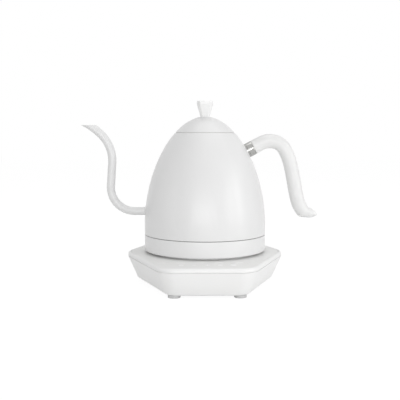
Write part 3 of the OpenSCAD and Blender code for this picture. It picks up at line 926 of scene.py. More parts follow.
@dataclass(frozen=True)
class Vessel:
    """The steel body with its neck, and the skirt ring below the seam."""

    dome: Dome = field(default_factory=Dome)
    wall: float = 1.2
    bottom: float = 54.0
    straight_top: float = 61.0
    ledge_width: float = 5.0
    neck_depth: float = 6.0
    coated_rim: float = 0.6
    bare_share: float = 0.6
    hole_gap: float = 0.03
    hole_start: float = -50.0
    hole_depth: float = 30.0
    skirt_bottom: float = 35.6
    skirt_top: float = 53.4
    skirt_wall: float = 2.0
    skirt_round: float = 1.2
    lip_top: float = 57.0
    lip_reach: float = 1.6
    lip_thick: float = 2.0
    lip_gap: float = 0.1
    seal_depth: float = 1.1
    seal_round: float = 0.15
    edge_round: float = 0.3
    mouth_round: float = 0.5
    neck_round: float = 0.4
    small_round: float = 0.2
    foot_round: float = 0.25
    outer_steps: int = 56
    inner_steps: int = 30
    skirt_steps: int = 5
    sides: int = 160

    def neck_radius(self) -> float:
        """The inner radius of the neck that stands down from the ledge."""
        return self.dome.at(self.dome.ledge) - self.ledge_width

    def outline(self) -> Profile:
        """The closed outline of the body's wall.

        Returns:
            The outline's points, in order.
        """
        d, wall, neck = self.dome, self.wall, self.neck_radius()
        low = d.ledge - self.neck_depth
        outer = [(d.radius - wall, self.bottom), (d.radius, self.bottom),
                 (d.radius, self.straight_top)] + d.line(d.start, d.ledge, self.outer_steps)
        top = len(outer) - 1
        inner = [(neck, d.ledge), (neck, low), (neck + wall, low), (neck + wall, d.ledge - wall)]
        inner += d.line(d.start, d.ledge - wall, self.inner_steps, wall)[::-1]
        rounds = {1: self.edge_round, top: self.edge_round, top + 1: self.mouth_round,
                  top + 2: self.neck_round, top + 3: self.neck_round}
        return fillet(outer + inner, rounds)

    def shell(self, spout: "Spout", handle: "Handle") -> Piece:
        """Make the body with its two holes, coated outside and bare inside.

        Args:
            spout: Gives the place and size of the spout's hole.
            handle: Gives the place of the stud's hole.

        Returns:
            The dressed body.
        """
        piece = Bench.lathe("vessel_shell", self.outline(), self.sides)
        hole = Bench.rod(spout.root_radius + self.hole_gap, (0, 0, 0), self.hole_depth)
        Bench.place(hole, (self.hole_start, 0, spout.inlet), -90)
        Bench.combine(piece, [hole, handle.stud_hole()], Merge.CUT)
        piece.data.materials.append(MATERIALS[Slot.WHITE_COAT])
        piece.data.materials.append(MATERIALS[Slot.STEEL])
        Bench.open(piece)
        Bench.pick(piece, Kind.FACE, self._is_inside)
        piece.active_material_index = 1
        bpy.ops.object.material_slot_assign()
        Bench.take(piece)
        bpy.ops.object.shade_smooth_by_angle(angle=math.radians(SMOOTH_ANGLE))
        return dress(piece, Slot.WHITE_COAT, Body.KETTLE, "body_shell", "neck_ring")

    def _is_inside(self, face: bmesh.types.BMFace) -> bool:
        """Tell the bare inner side from the coated one.

        Args:
            face: A face of the body.

        Returns:
            Whether the face is bare.
        """
        middle = face.calc_center_median() / MM
        radius = math.hypot(middle.x, middle.y)
        low, past_neck = self.dome.ledge - self.neck_depth - 1, self.neck_radius() + self.wall
        if middle.z > low and radius < past_neck + SLACK:
            return middle.z < self.dome.ledge - self.coated_rim
        return radius < self.dome.at(middle.z) - self.wall * self.bare_share

    def skirt(self) -> Piece:
        """Make the ring below the seam.

        Returns:
            The dressed ring.
        """
        r, low, high = self.dome.radius, self.skirt_bottom, self.skirt_top
        inner = r - self.skirt_wall
        step, lip = inner - self.lip_gap, inner - self.lip_reach
        corners = [(r, low), (r, high), (step, high), (step, self.lip_top), (lip, self.lip_top),
                   (lip, high - self.lip_thick), (inner, high - 2 * self.lip_thick), (inner, low)]
        rounds = {0: self.skirt_round, 1: self.edge_round, 3: self.small_round, 4: self.small_round,
                  7: self.foot_round}
        corners = fillet(corners, rounds, self.skirt_steps)
        piece = Bench.lathe("skirt_ring_cover", corners, self.sides)
        return dress(piece, Slot.WHITE_COAT, Body.KETTLE, "skirt_ring")

    def seal(self) -> Piece:
        """Make the dark seal in the seam.

        Returns:
            The dressed seal.
        """
        outer, inner = self.dome.radius - self.seal_depth, self.dome.radius - self.skirt_wall
        corners = [(outer, self.skirt_top), (outer, self.bottom),
                   (inner, self.bottom), (inner, self.skirt_top)]
        rounds = {0: self.seal_round, 1: self.seal_round}
        piece = Bench.lathe("seam_band", fillet(corners, rounds), self.sides)
        return dress(piece, Slot.RUBBER_DARK, Body.KETTLE, "seam_seal")


@dataclass(frozen=True)
class Spout:
    """The gooseneck: a level inlet, an elbow, a riser and a crook that ends in a level mouth."""

    inlet: float = 79.8
    start: float = 65.6
    run: float = 81.1
    root_radius: float = 4.6
    radius: float = 4.7
    wall: float = 0.8
    elbow: float = 27.2
    lean: float = 4.0
    riser: float = 26.08
    crook: float = 42.2
    crook_turn: float = 45.0
    mouth: float = 178.5
    tip: float = 79.0
    tip_end: float = 162.0
    lip_round: float = 0.22
    elbow_steps: int = 26
    riser_steps: int = 5
    crook_steps: int = 24
    tip_steps: int = 12
    lip_slope: float = 0.98
    weld_round: float = 0.2
    weld_sides: int = 64
    weld_line: tuple[Spot, ...] = ((-0.1, -0.9), (1.3, -0.9), (1.3, -0.1), (0.55, 0.15),
                                   (0.2, 0.5), (0.02, 1.2), (-0.1, 1.2))
    sides: int = 44

    def _bend(self, start: Station, end: float, radius: float, steps: int) -> list[Station]:
        """Stations along an arc.

        Args:
            start: Where the arc starts, which isn't among the stations.
            end: The heading at its end. A larger one than the start's bends to the left.
            radius: The arc's radius.
            steps: The number of stations.

        Returns:
            The stations after the start, with the tube's thickness eased in.
        """
        side = math.copysign(90, end - start.heading)
        a = math.radians(start.heading + side)
        cx, cz = start.x + radius * math.cos(a), start.z + radius * math.sin(a)
        made = []
        for i in range(1, steps + 1):
            share = i / steps
            heading = start.heading + (end - start.heading) * share
            a = math.radians(heading + side)
            made.append(Station(cx - radius * math.cos(a), cz - radius * math.sin(a), heading,
                                start.radius + (self.radius - start.radius) * share))
        return made

    def stations(self) -> list[Station]:
        """The centreline from the inlet to just past the mouth.

        Returns:
            The stations, in order.
        """
        rise = 90 - self.lean
        path = [Station(-x, self.inlet, 180, self.root_radius) for x in (self.start, self.run)]
        path += self._bend(path[-1], rise, self.elbow, self.elbow_steps)
        foot, a, steps = path[-1], math.radians(rise), self.riser_steps
        lengths = [self.riser * k / steps for k in range(1, steps + 1)]
        path += [Station(foot.x + length * math.cos(a), foot.z + length * math.sin(a), rise,
                         self.radius) for length in lengths]
        path += self._bend(path[-1], 90 + self.crook_turn, self.crook, self.crook_steps)
        return path + self._bend(path[-1], self.tip_end, self.tip, self.tip_steps)

    def tube(self) -> Piece:
        """Make the tube with its wall and its rounded, level lip.

        Returns:
            The dressed tube.
        """
        piece = Bench.sweep("gooseneck_tube", self.stations(), self.sides)
        Bench.all_of(piece)
        bpy.ops.mesh.normals_make_consistent(inside=False)
        Bench.wall(piece, self.wall)
        Bench.all_of(piece)
        bpy.ops.mesh.bisect(plane_co=(0, 0, self.mouth * MM), plane_no=(0, 0, 1), clear_outer=True,
                            use_fill=False, threshold=NEAR)
        Bench.pick(piece, Kind.EDGE, is_rim)
        bpy.ops.mesh.bridge_edge_loops()
        at_mouth = is_level(self.mouth)
        Bench.round(piece, self.lip_round, 3,
                    lambda e: at_mouth(e) and is_by_slope(e, self.lip_slope))
        Bench.finish(piece)
        return dress(piece, Slot.WHITE_COAT, Body.KETTLE, "spout_tube")

    def weld(self, dome: Dome) -> Piece:
        """Make the small fillet where the tube meets the body.

        Args:
            dome: The body's curve.

        Returns:
            The dressed fillet.
        """
        r, skin = self.root_radius, dome.at(self.inlet)
        corners = [(r + out, skin + along) for out, along in self.weld_line]
        piece = Bench.lathe("spout_fillet", fillet(corners, {2: self.weld_round}), self.weld_sides)
        return dress(Bench.place(piece, (0, 0, self.inlet), -90), Slot.WHITE_COAT, Body.KETTLE)


@dataclass(frozen=True)
class GripStop:
    """A place on the grip: shares of its reach and drop, the heading and the thickness."""

    reach: float
    drop: float
    heading: float
    thickness: float


@dataclass(frozen=True)
class Handle:
    """The polished collar and the long curved grip."""

    foot: Spot = (48.60, 149.2)
    slope: float = 28.0
    collar_length: float = 8.2
    collar_radius: float = 8.4
    collar_round: float = 0.45
    groove: Point = (0.9, 0.65, 0.25)
    groove_slope: float = 0.2
    groove_round: float = 0.1
    bore: float = 3.1
    bore_start: float = -12.0
    bore_length: float = 20.0
    sunk: float = 1.1
    reach: float = 74.4
    drop: float = 77.4
    neck: float = 16.6
    full: float = 16.2
    oval: float = 0.95
    toe: float = 4.0
    toe_turns: tuple[float, ...] = (0.0, 0.4, 0.8, 1.15, 1.4)
    toe_gap: float = 0.4
    thinnest: float = 0.08
    pocket_radius: float = 5.15
    pocket_depth: float = 14.1
    edge_round: float = 0.5
    steps: int = 9
    sides: int = 44

    def head(self) -> Spot:
        """Where the collar ends and the grip starts."""
        (x, z), a, out = self.foot, math.radians(self.slope), self.collar_length
        return x + out * math.cos(a), z + out * math.sin(a)

    def seat(self) -> Point:
        """Where the collar's axis meets the body."""
        return self.foot[0], 0.0, self.foot[1]

    def tilt(self) -> float:
        """How far the collar's axis leans from upright."""
        return 90 - self.slope

    def stud_hole(self) -> Piece:
        """A cutter for the stud's hole in the body."""
        cutter = Bench.rod(self.bore, (0, 0, self.bore_start), self.bore_length)
        return Bench.place(cutter, self.seat(), self.tilt())

    def collar(self) -> Piece:
        """Make the collar, which stands square on the body's slope.

        Returns:
            The dressed collar.
        """
        r, top, bottom = self.collar_radius, self.collar_length, -self.sunk
        low, width, depth = self.groove
        high, slope = low + width, self.groove_slope
        corners = [(self.bore, bottom), (r, bottom), (r, low), (r - depth, low + slope),
                   (r - depth, high - slope), (r, high), (r, top), (self.bore, top)]
        rounds = {3: self.groove_round, 4: self.groove_round, 6: self.collar_round}
        piece = Bench.lathe("grip_collar", fillet(corners, rounds))
        Bench.place(piece, self.seat(), self.tilt())
        # The collar takes the darker steel, which is painted shade.
        return dress(piece, Slot.COLLAR_STEEL, Body.KETTLE, "handle_collar")

    def stops(self) -> list[GripStop]:
        """The places that shape the grip, from the collar to the toe.

        Returns:
            The stops, in order.
        """
        neck, full = self.neck, self.full
        return [
            GripStop(0.0, 0.0, self.slope, neck),
            GripStop(0.238, -0.094, 0, neck + (full - neck) * 0.4),
            GripStop(0.431, -0.034, -43, full),
            GripStop(0.526, 0.112, -66, full),
            GripStop(0.597, 0.34, -78, full),
            GripStop(0.649, 0.607, -80, full),
            GripStop(0.699, 0.81, -73, full),
            GripStop(0.778, 0.95, -50, full * 0.97),
            GripStop(0.894, 0.984, -20, full * 0.69),
            GripStop(1.0, 1.0, -4, self.toe)]

    def _between(self, a: GripStop, b: GripStop, t: float) -> Station:
        """The station at share t of the way from one stop to the next.

        Args:
            a: The first stop.
            b: The next stop.
            t: The share.

        Returns:
            The station.
        """
        x0, z0 = self.head()
        p = Vector((x0 + self.reach * a.reach, z0 - self.drop * a.drop))
        q = Vector((x0 + self.reach * b.reach, z0 - self.drop * b.drop))
        pull = (q - p).length / 3
        u, v = math.radians(a.heading), math.radians(b.heading)
        p1 = p + pull * Vector((math.cos(u), math.sin(u)))
        q1 = q - pull * Vector((math.cos(v), math.sin(v)))
        s = 1 - t
        place = p * s ** 3 + p1 * 3 * t * s * s + q1 * 3 * t * t * s + q * t ** 3
        return Station(place.x, place.y, a.heading + (b.heading - a.heading) * t,
                       (a.thickness + (b.thickness - a.thickness) * t) / 2)

    def stations(self) -> list[Station]:
        """The centreline of the grip with its rounded toe.

        Returns:
            The stations, in order.
        """
        stops = self.stops()
        path = [self._between(a, b, i / self.steps)
                for a, b in zip(stops, stops[1:]) for i in range(self.steps)]
        end = self._between(stops[-2], stops[-1], 1.0)
        a = math.radians(end.heading)
        cap = [Station(end.x - end.radius * (1 - math.sin(k)) * math.cos(a),
                       end.z - end.radius * (1 - math.sin(k)) * math.sin(a), end.heading,
                       max(end.radius * math.cos(k), self.thinnest)) for k in self.toe_turns]
        return [s for s in path if s.x < cap[0].x - self.toe_gap] + cap

    def grip(self) -> Piece:
        """Make the grip with the pocket for its insert.

        Returns:
            The dressed grip.
        """
        piece = Bench.sweep("grip_cover", self.stations(), self.sides, self.oval)
        bpy.ops.mesh.edge_face_add()
        x, z = self.head()
        near = Vector((x, 0, z)) * MM
        a = math.radians(self.slope)
        along = Vector((math.cos(a), 0, math.sin(a)))
        Bench.pick(piece, Kind.EDGE, is_rim)
        bpy.ops.mesh.edge_face_add()
        Bench.pick(piece, Kind.FACE, lambda f: len(f.verts) == self.sides
                   and (f.calc_center_median() - near).length < MM)
        Bench.inset(self.neck / 2 - self.pocket_radius)
        Bench.grow(tuple(along * self.pocket_depth))
        inside = (self.neck / 2 * self.oval - self.edge_round) * MM
        Bench.round(piece, self.edge_round, 3, lambda e: all(
            (v.co - near).length > inside and abs((v.co - near).dot(along)) < SLACK * MM
            for v in e.verts))
        Bench.finish(piece)
        return dress(piece, Slot.WHITE_PLASTIC, Body.KETTLE, "grip")


@dataclass(frozen=True)
class Lid:
    """The lid's shell and its tapered knob with cut corners."""

    dome: Dome = field(default_factory=Dome)
    wall: float = 1.0
    hole: float = 2.2
    knob_height: float = 18.0
    knob_width: float = 18.4
    knob_foot: float = 9.8
    band: float = 3.4
    corner: float = 0.175
    edge: float = 0.45
    flat_angle: float = 8.0
    soft_angle: float = 40.0
    rim_round: float = 0.25
    outer_steps: int = 40
    inner_steps: int = 16
    sides: int = 160

    def shell(self) -> Piece:
        """Make the domed shell.

        Returns:
            The dressed shell.
        """
        d, wall = self.dome, self.wall
        outer = [(d.at(d.seam) - wall, d.seam)] + d.line(d.seam, d.top, self.outer_steps)
        flat = [(self.hole, d.top), (self.hole, d.top - wall)]
        inner = d.line(d.seam, d.top - wall, self.inner_steps, wall)[::-1][:-1]
        corners = fillet(outer + flat + inner, {1: self.rim_round})
        piece = Bench.lathe("lid_dome", corners, self.sides)
        return dress(piece, Slot.WHITE_COAT, Body.LID, "lid_shell")

    def knob(self) -> Piece:
        """Make the knob from a square plate with cut corners.

        Returns:
            The dressed knob.
        """
        low, foot = self.dome.top, self.knob_foot
        piece = Bench.square("lid_knob", foot, low)
        Bench.bevel(foot * self.corner, 1, corners=True)
        bpy.ops.mesh.select_mode(type="FACE")
        bpy.ops.mesh.select_all(action="SELECT")
        rise = self.knob_height - self.band
        Bench.grow((0, 0, rise))
        wider = self.knob_width / foot
        Bench.scale((wider, wider, 1), (0, 0, low + rise))
        Bench.grow((0, 0, self.band))
        Bench.finish(piece)
        Bench.open(piece)
        Bench.round(piece, self.edge, 3, lambda e: is_sharp(e, self.flat_angle)
                    and max(v.co.z for v in e.verts) > (low + SLACK) * MM)
        Bench.finish(piece, self.soft_angle)
        # Painted light: the knob takes the lighter copy of the white plastic.
        return dress(piece, Slot.WHITE_PLASTIC, Body.LID, "knob", look=Look.BRIGHT_PLASTIC)


# ---------------------------------------------------------------- power base


@dataclass(frozen=True)
class PowerBase:
    """The six-sided dish, its cover, the touch panel, the feet and the cord bush."""

    corners: int = 6
    side: float = 91.6
    edge: float = 47.5
    deep: float = 113.0
    corner_reach: float = 15.72
    side_reach: float = 14.8
    corner_bow: float = 0.5274
    side_bow: float = 0.5495
    corner_steps: int = 14
    side_steps: int = 18
    bottom: float = 3.0
    top: float = 28.5
    taper: float = 11.1
    inner_taper: float = 10.1
    wall: float = 2.4
    foot_round: float = 1.8
    rim_round: float = 0.25
    rim_slope: float = 0.9
    overlap: float = 0.5
    cover_height: float = 4.7
    cover_round: float = 2.6
    rim: float = 3.2
    panel_depth: float = 2.0
    panel_gap: float = 0.3
    panel_round: float = 0.3
    seam: float = 0.5
    seam_depth: float = 1.2
    seam_round: float = 0.22
    plug_hole: float = 16.0
    plug_reach: Spot = (20.0, 40.0)
    plug_sides: int = 96
    window: Point = (33.2, 14.0, 6.0)
    window_place: Point = (-18.4, -74.4, 30.0)
    tower: Spot = (50.38, 45.2)
    tower_top: float = 19.5
    tower_radius: float = 4.5
    tower_end: float = 29.0
    cover_tower_radius: float = 4.2
    screw_head: Spot = (3.6, 10.0)
    screw_hole: float = 1.8
    screw_grip: Spot = (1.5, 27.5)
    spare: float = 1.5
    board: Point = (37.0, 40.9, 82.9)
    boss_radius: float = 3.4
    boss_top: float = 9.4
    boss_hole: Spot = (1.2, 5.6)
    bush_z: float = 15.0
    bush_y: float = 101.4
    bush_radius: float = 5.8
    bush_flange: float = 7.6
    bush_length: float = 12.0
    bush_lip: float = 2.5
    bush_gap: float = 0.1
    bush_bore: Spot = (-8.0, 1.0)
    bush_step: float = 0.6
    bush_rounds: Point = (0.5, 0.6, 0.3)
    bush_sides: int = 64
    bush_ring: Spot = (5.8, 7.8)
    bush_wall: Point = (28.2, 3.2, 22.5)
    bush_pocket: Point = (22.2, 22.0, 20.2)
    cord_radius: float = 3.4
    foot_radius: float = 6.6
    foot_bore: float = 1.2
    foot_neck: Spot = (5.1, 3.9)
    foot_rounds: Spot = (0.5, 0.15)
    foot_inset: Spot = (2.0, 1.2)
    foot_sides: int = 48

    def towers(self) -> list[Spot]:
        """Where the four screw towers stand."""
        along, across = self.tower
        return [(x, y) for x in (-along, along) for y in (-across, across)]

    def bosses(self) -> list[Spot]:
        """Where the four bosses of the board stand."""
        return [(x, y) for x in (-self.board[0], self.board[0]) for y in self.board[1:]]

    @staticmethod
    def posts(places: list[Spot], radius: float, low: float, high: float) -> list[Piece]:
        """Make one upright rod at each place."""
        return [Bench.rod(radius, (x, y, low), high - low) for x, y in places]

    def plate(self, name: str, inset: float, height: float) -> Piece:
        """Add the six-sided plate with its rounded corners, open and with its face selected.

        Args:
            name: The piece's name.
            inset: How far the outline is set inwards.
            height: The plate's height.

        Returns:
            The new piece, in edit mode.
        """
        middle, half = (0, 0, height), 180 / self.corners
        piece = Bench.ring(name, self.side, middle, sides=self.corners, filled=True)
        Bench.turn(half, middle, Axis.Z)
        Bench.scale((1, self.deep / (self.side * math.cos(math.radians(half))), 1), middle)
        Bench.pick(piece, Kind.VERT, lambda v: abs(v.co.y) > 0.5 * self.deep * MM)
        Bench.scale((self.edge / (self.side / 2), 1, 1), middle)
        Bench.bevel(self.corner_reach, self.corner_steps, True, self.corner_bow)
        Bench.pick(piece, Kind.VERT, lambda v: abs(v.co.y) < SLACK * MM)
        Bench.bevel(self.side_reach, self.side_steps, True, self.side_bow)
        bpy.ops.mesh.select_mode(type="FACE")
        bpy.ops.mesh.select_all(action="SELECT")
        bpy.ops.mesh.normals_make_consistent(inside=False)
        if bmesh.from_edit_mesh(piece.data).faces[:][0].normal.z < 0:
            bpy.ops.mesh.flip_normals()
        if inset:
            Bench.inset(inset)
            bpy.ops.mesh.select_all(action="INVERT")
            bpy.ops.mesh.delete(type="FACE")
            bpy.ops.mesh.select_all(action="SELECT")
        return piece

    def dish(self) -> Piece:
        """Make the hollow dish with its screw towers, its bosses and the pocket for the cord.

        Returns:
            The dressed dish.
        """
        floor, at_top = self.bottom + self.wall, is_level(self.top)
        piece = self.plate("base_dish", 0, self.top)
        bpy.ops.mesh.flip_normals()
        Bench.inset(self.taper, self.top - self.bottom)
        Bench.round(piece, self.foot_round, 5, is_level(self.bottom))
        Bench.pick(piece, Kind.EDGE, is_rim)
        bpy.ops.mesh.edge_face_add()
        Bench.pick(piece, Kind.FACE, at_top)
        bpy.ops.mesh.normals_make_consistent(inside=False)
        Bench.inset(self.wall)
        Bench.inset(self.inner_taper, floor - self.top)
        Bench.round(piece, self.rim_round, 2,
                    lambda e: at_top(e) and is_by_slope(e, self.rim_slope))
        Bench.finish(piece)
        _, thick, high = self.bush_wall
        wall = Bench.slab("wall", self.bush_wall,
                          (0, self.bush_y - thick / 2, self.bottom + 1 + high / 2))
        sunk = floor - self.overlap
        Bench.combine(piece, [Bench.finish(wall)]
                      + self.posts(self.towers(), self.tower_radius, sunk, self.tower_top)
                      + self.posts(self.bosses(), self.boss_radius, sunk, self.boss_top), Merge.ADD)
        pocket = Bench.slab("pocket", self.bush_pocket,
                            (0, self.bush_y + self.bush_pocket[1] / 2, self.bush_z))
        start, end = self.bush_bore
        bore = Bench.rod(self.bush_radius + self.bush_gap, (0, self.bush_y + start, self.bush_z),
                         end - start, Axis.Y)
        head, head_top = self.screw_head
        hole, hole_floor = self.boss_hole
        Bench.combine(piece, [Bench.finish(pocket), bore]
                      + self.posts(self.towers(), head, self.bottom - 1, head_top)
                      + self.posts(self.towers(), self.screw_hole, self.bottom, self.top)
                      + self.posts(self.bosses(), hole, hole_floor, self.top), Merge.CUT)
        Bench.finish(piece)
        # Painted light: the dish takes the lighter copy of the white plastic.
        return dress(piece, Slot.WHITE_PLASTIC, Body.BASE, "base_housing", look=Look.BRIGHT_PLASTIC)

    def cover(self) -> Piece:
        """Make the cover with its rounded edge, its seam and the recess for the panel.

        Returns:
            The dressed cover.
        """
        low, level = self.top + self.seam, self.top + self.cover_height
        at_low, at_level = is_level(low), is_level(level)
        piece = self.plate("base_cover", 0, low)
        Bench.grow((0, 0, self.cover_height - self.seam))
        Bench.inset(self.rim)
        Bench.grow((0, 0, -self.panel_depth))
        Bench.finish(piece)
        Bench.open(piece)
        Bench.pick(piece, Kind.FACE, at_low)
        Bench.inset(self.seam_depth)
        Bench.grow((0, 0, -self.seam))
        Bench.round(piece, self.cover_round, 6, lambda e: at_level(e) and any(
            min(v.co.z for v in f.verts) < low * MM + NEAR for f in e.link_faces))
        Bench.round(piece, self.seam_round, 3, lambda e: is_sharp(e) and (
            at_level(e) or at_low(e)
            and any(max(v.co.z for v in f.verts) > (low + 1) * MM for f in e.link_faces)))
        Bench.finish(piece)
        Bench.combine(piece, self.posts(self.towers(), self.cover_tower_radius, self.tower_top,
                                        self.tower_end), Merge.ADD)
        window = Bench.slab("window", self.window, self.window_place)
        hole, hole_top = self.screw_grip
        holes = self.posts(self.towers(), hole, self.tower_top - self.spare, hole_top)
        Bench.combine(piece, [Bench.finish(window), self.plug_cutter()] + holes, Merge.CUT)
        Bench.finish(piece)
        # Painted light: the cover takes the lighter copy of the white plastic.
        return dress(piece, Slot.WHITE_PLASTIC, Body.BASE, "top_cover", look=Look.BRIGHT_PLASTIC)

    def plug_cutter(self) -> Piece:
        """A cutter for the hole that the connector's plug stands in."""
        low, high = self.plug_reach
        return Bench.rod(self.plug_hole, (0, 0, low), high - low, sides=self.plug_sides)

    def panel(self) -> Piece:
        """Make the touch panel.

        Returns:
            The dressed panel.
        """
        low = self.top + self.cover_height - self.panel_depth
        piece = self.plate("touch_face", self.rim + self.panel_gap, low)
        Bench.grow((0, 0, self.panel_depth))
        Bench.finish(piece)
        Bench.open(piece)
        Bench.round(piece, self.panel_round, 3, lambda e: is_sharp(e)
                    and all(v.co.z > (low + SLACK) * MM for v in e.verts))
        Bench.finish(piece)
        Bench.combine(piece, [self.plug_cutter()], Merge.CUT)
        Bench.finish(piece)
        return dress(piece, Slot.PANEL, Body.BASE, "touch_panel")

    def feet(self) -> list[Piece]:
        """Make one foot and copy it to the other places.

        Returns:
            The dressed feet.
        """
        r, bore, high = self.foot_radius, self.foot_bore, self.bottom
        neck, top = self.foot_neck
        corners = [(bore, 0.0), (r, 0.0), (r, high), (neck, high), (neck, top), (bore, top)]
        edge, upper = self.foot_rounds
        first = Bench.lathe("foot_1", fillet(corners, {1: edge, 2: upper}), self.foot_sides)
        along, across = self.foot_inset
        x, y = self.edge - along * r, self.deep - self.taper - across * r
        out = self.side - self.taper - along * r
        places = [(-x, -y), (x, -y), (-x, y), (x, y), (-out, 0), (out, 0)]
        feet = [first] + [Bench.copy(first, f"foot_{number}", (px, py, 0))
                          for number, (px, py) in enumerate(places, 2)]
        return [dress(foot, Slot.RUBBER_GREY, Body.BASE, "feet") for foot in feet]

    def bush(self) -> Piece:
        """Make the cord bush in the back wall.

        Returns:
            The dressed bush.
        """
        r, flange, lip, length = self.bush_radius, self.bush_flange, self.bush_lip, self.bush_length
        ring, (low, high) = flange - self.bush_step, self.bush_ring
        cord = self.cord_radius
        corners = [(cord, 0), (flange, 0), (flange, lip), (r, lip), (r, low), (ring, low),
                   (ring, high), (r, high), (r, length), (cord, length)]
        inner, outer, small = self.bush_rounds
        rounds = {0: inner, 1: outer, 5: small, 6: small, 8: inner}
        piece = Bench.lathe("cord_grommet", fillet(corners, rounds), self.bush_sides)
        Bench.place(piece, (0, self.bush_y + lip, self.bush_z), 90, Axis.X)
        return dress(piece, Slot.RUBBER_GREY, Body.BASE, "cord_bush")


@dataclass(frozen=True)
class PanelMarks:
    """Plain touch marks printed on the panel: a row of dashes and a row of signs."""

    level: float = 33.2
    proud: float = 0.04
    sign_row: float = -92.0
    dash_row: float = -79.0
    dashes: tuple[float, ...] = (-48.0, -28.0, -8.0, 13.0, 34.0)
    dash_length: float = 9.0
    step: float = 13.5
    size: float = 2.3
    stroke: float = 0.55
    sunk: float = 0.1
    end_round: float = 0.45
    loop_sides: int = 40

    def _dash(self, x: float, y: float, length: float, turned: bool = False) -> Piece:
        """A straight stroke.

        Args:
            x: Its middle along the panel.
            y: Its middle across the panel.
            length: Its length.
            turned: Whether it runs across the panel.

        Returns:
            The stroke.
        """
        size = (self.stroke, length) if turned else (length, self.stroke)
        middle = self.level + (self.proud - self.sunk) / 2
        bar = Bench.slab("stroke", (*size, self.proud + self.sunk), (x, y, middle))
        Bench.round(bar, self.stroke * self.end_round, 3,
                    lambda e: abs(e.verts[0].co.z - e.verts[1].co.z) > SLACK * MM)
        return Bench.finish(bar)

    def _loop(self, x: float, y: float, radius: float) -> Piece:
        """A round stroke.

        Args:
            x: Its middle along the panel.
            y: Its middle across the panel.
            radius: Its outer radius.

        Returns:
            The stroke.
        """
        low, high, inner = self.level - self.sunk, self.level + self.proud, radius - self.stroke
        corners = [(inner, low), (radius, low), (radius, high), (inner, high)]
        return Bench.place(Bench.lathe("loop", corners, self.loop_sides), (x, y, 0))

    def printed(self) -> Piece:
        """Make all the marks as one thin piece.

        Returns:
            The dressed marks.
        """
        s, y, step = self.size, self.sign_row, self.step
        strokes = [
            self._loop(-2 * step, y, s), self._dash(-2 * step, y + s * 0.9, s, True),
            self._dash(-step, y, 2 * s),
            self._dash(0, y, 2 * s), self._dash(0, y, 2 * s, True),
            self._loop(step, y, s), self._dash(step, y + s * 0.35, s * 0.9, True),
            self._loop(2 * step, y, s * 0.75), self._loop(2 * step, y, s * 1.3)]
        strokes += [self._dash(x, self.dash_row, self.dash_length) for x in self.dashes]
        marks = Bench.join(strokes, "panel_marks")
        # The marks take the print finish with a painted glow.
        return dress(marks, Slot.RUBBER_GREY, Body.BASE, look=Look.MARK_PRINT)


# ---------------------------------------------------------------- studio


@dataclass(frozen=True)
class Lamp:
    """A soft lamp: its place, what it points at, its size in metres and its power in watts."""

    name: str
    place: Point
    aim: Point
    size: Spot
    power: float

    def hang(self) -> None:
        """Put the lamp in the scene."""
        data = bpy.data.lights.new(self.name, "AREA")
        data.shape = "RECTANGLE"
        data.size, data.size_y = self.size
        data.energy = self.power
        lamp = bpy.data.objects.new(self.name, data)
        bpy.context.scene.collection.objects.link(lamp)
        lamp.location = self.place
        ray = Vector(self.aim) - Vector(self.place)
        lamp.rotation_euler = ray.to_track_quat("-Z", "Y").to_euler()


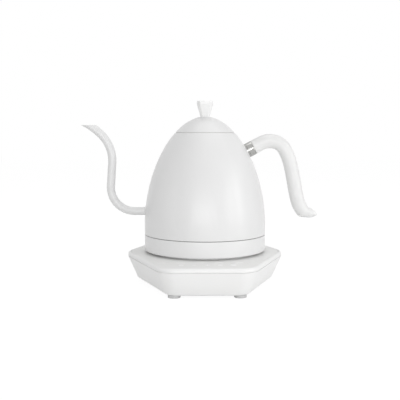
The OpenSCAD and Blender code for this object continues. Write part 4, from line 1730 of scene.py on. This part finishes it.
@dataclass(frozen=True)
class Studio:
    """The camera, the lamps, the pale floor and the white surroundings."""

    eye: Point = (-0.0222, -0.8055, 0.1663)
    dip: float = 5.24
    swing: float = -0.0205
    lens: float = 62.96
    sensor: float = 36.0
    floor_size: float = 8.0
    floor_tones: Spot = (0.80, 0.82)
    surround: float = 0.50
    shadow_share: float = 0.15
    glow: float = 1.10
    lamps: tuple[Lamp, ...] = (
        Lamp("side", (0.9, -0.4, 0.3), (0, 0, 0.10), (0.15, 0.6), 1.6),
        Lamp("front_side", (0.85, -0.8, 0.3), (0, 0, 0.10), (0.25, 0.5), 1.4),
        Lamp("front_low", (-0.1, -1.3, 0.22), (0, 0, 0.09), (1.0, 0.35), 4.4),
        Lamp("left_low", (-1.1, -0.5, 0.3), (0, 0, 0.10), (0.5, 0.5), 0.5),
        Lamp("top", (0.1, 0.1, 1.3), (0, 0, 0.1), (1.0, 1.0), 3.2),
    )

    def camera(self) -> None:
        """Make the camera that frames the kettle."""
        data = bpy.data.cameras.new("camera")
        data.lens = self.lens
        data.sensor_width = self.sensor
        data.dof.use_dof = False
        camera = bpy.data.objects.new("camera", data)
        bpy.context.scene.collection.objects.link(camera)
        camera.location = self.eye
        camera.rotation_euler = (math.radians(90 - self.dip), 0, self.swing)
        bpy.context.scene.camera = camera

    def world(self) -> None:
        """White for what looks at it, and a plain grey level for what it lights."""
        world = bpy.data.worlds.new("surroundings")
        bpy.context.scene.world = world
        world.use_nodes = True
        desk = NodeDesk(world.node_tree)
        level = desk.seen_rays() * (1 - self.surround) + self.surround
        light = desk.add("ShaderNodeBackground", {}, {"Color": (1, 1, 1, 1), "Strength": level})
        desk.add("ShaderNodeOutputWorld", {}, {0: light})

    def floor(self) -> None:
        """A white floor that keeps a light shadow."""
        Bench.put_down()
        bpy.ops.mesh.primitive_plane_add(size=self.floor_size, location=(0, 0, 0))
        piece = bpy.context.object
        piece.name = "floor"
        shop = PaintShop("floor_white")
        low, high = self.floor_tones
        shop.set(Base_Color=shop.blend(shop.noise(3.0), (low,) * 3, (high,) * 3),
                 Roughness=0.9, Specular_IOR_Level=0.0)
        seen = shop.seen_rays() * (1 - self.shadow_share)
        glow = shop.add("ShaderNodeEmission", {}, {"Strength": self.glow})
        mixed = shop.add("ShaderNodeMixShader", {}, {
            0: seen, 1: Wire(shop, shop.shader.outputs[0]), 2: glow})
        shop.fill(shop.output, {0: mixed})
        piece.data.materials.append(shop.material)

    def set_up(self) -> None:
        """Set up the whole studio."""
        bpy.context.scene.view_settings.view_transform = "Standard"
        self.camera()
        self.world()
        self.floor()
        for lamp in self.lamps:
            lamp.hang()


# ---------------------------------------------------------------- the whole


def dress_cad_nodes() -> None:
    """Give every CAD node that still shows its procedural finish."""
    slots = {part["node"]: Slot(part["material_slot"]) for part in frame["record"]["subparts"]}
    for name, node in sorted(frame["nodes"].items()):
        if node.hide_render:
            continue
        material = MATERIALS[slots[name]]
        for place in node.material_slots:
            place.material = material
        if not node.material_slots:
            node.data.materials.append(material)
        log.info("%s: CAD node with finish %s", name, slots[name].value)


def main() -> None:
    """Build the studio, the kettle and its base in order, and report each piece."""
    logging.basicConfig(level=logging.INFO, format="%(message)s")
    Studio().set_up()
    spout, handle, vessel, lid, base = Spout(), Handle(), Vessel(), Lid(), PowerBase()
    MATERIALS.update(Palette(handle.seat(), handle.tilt()).materials())
    pieces = [
        vessel.shell(spout, handle), vessel.skirt(), vessel.seal(), spout.tube(),
        spout.weld(vessel.dome), handle.collar(), handle.grip(), lid.shell(), lid.knob(),
        base.dish(), base.cover(), base.panel(), *base.feet(), base.bush(), PanelMarks().printed()]
    for piece in pieces:
        log.info("%s: %d faces", piece.name, len(piece.data.polygons))
    dress_cad_nodes()


if __name__ == "__main__":
    main()
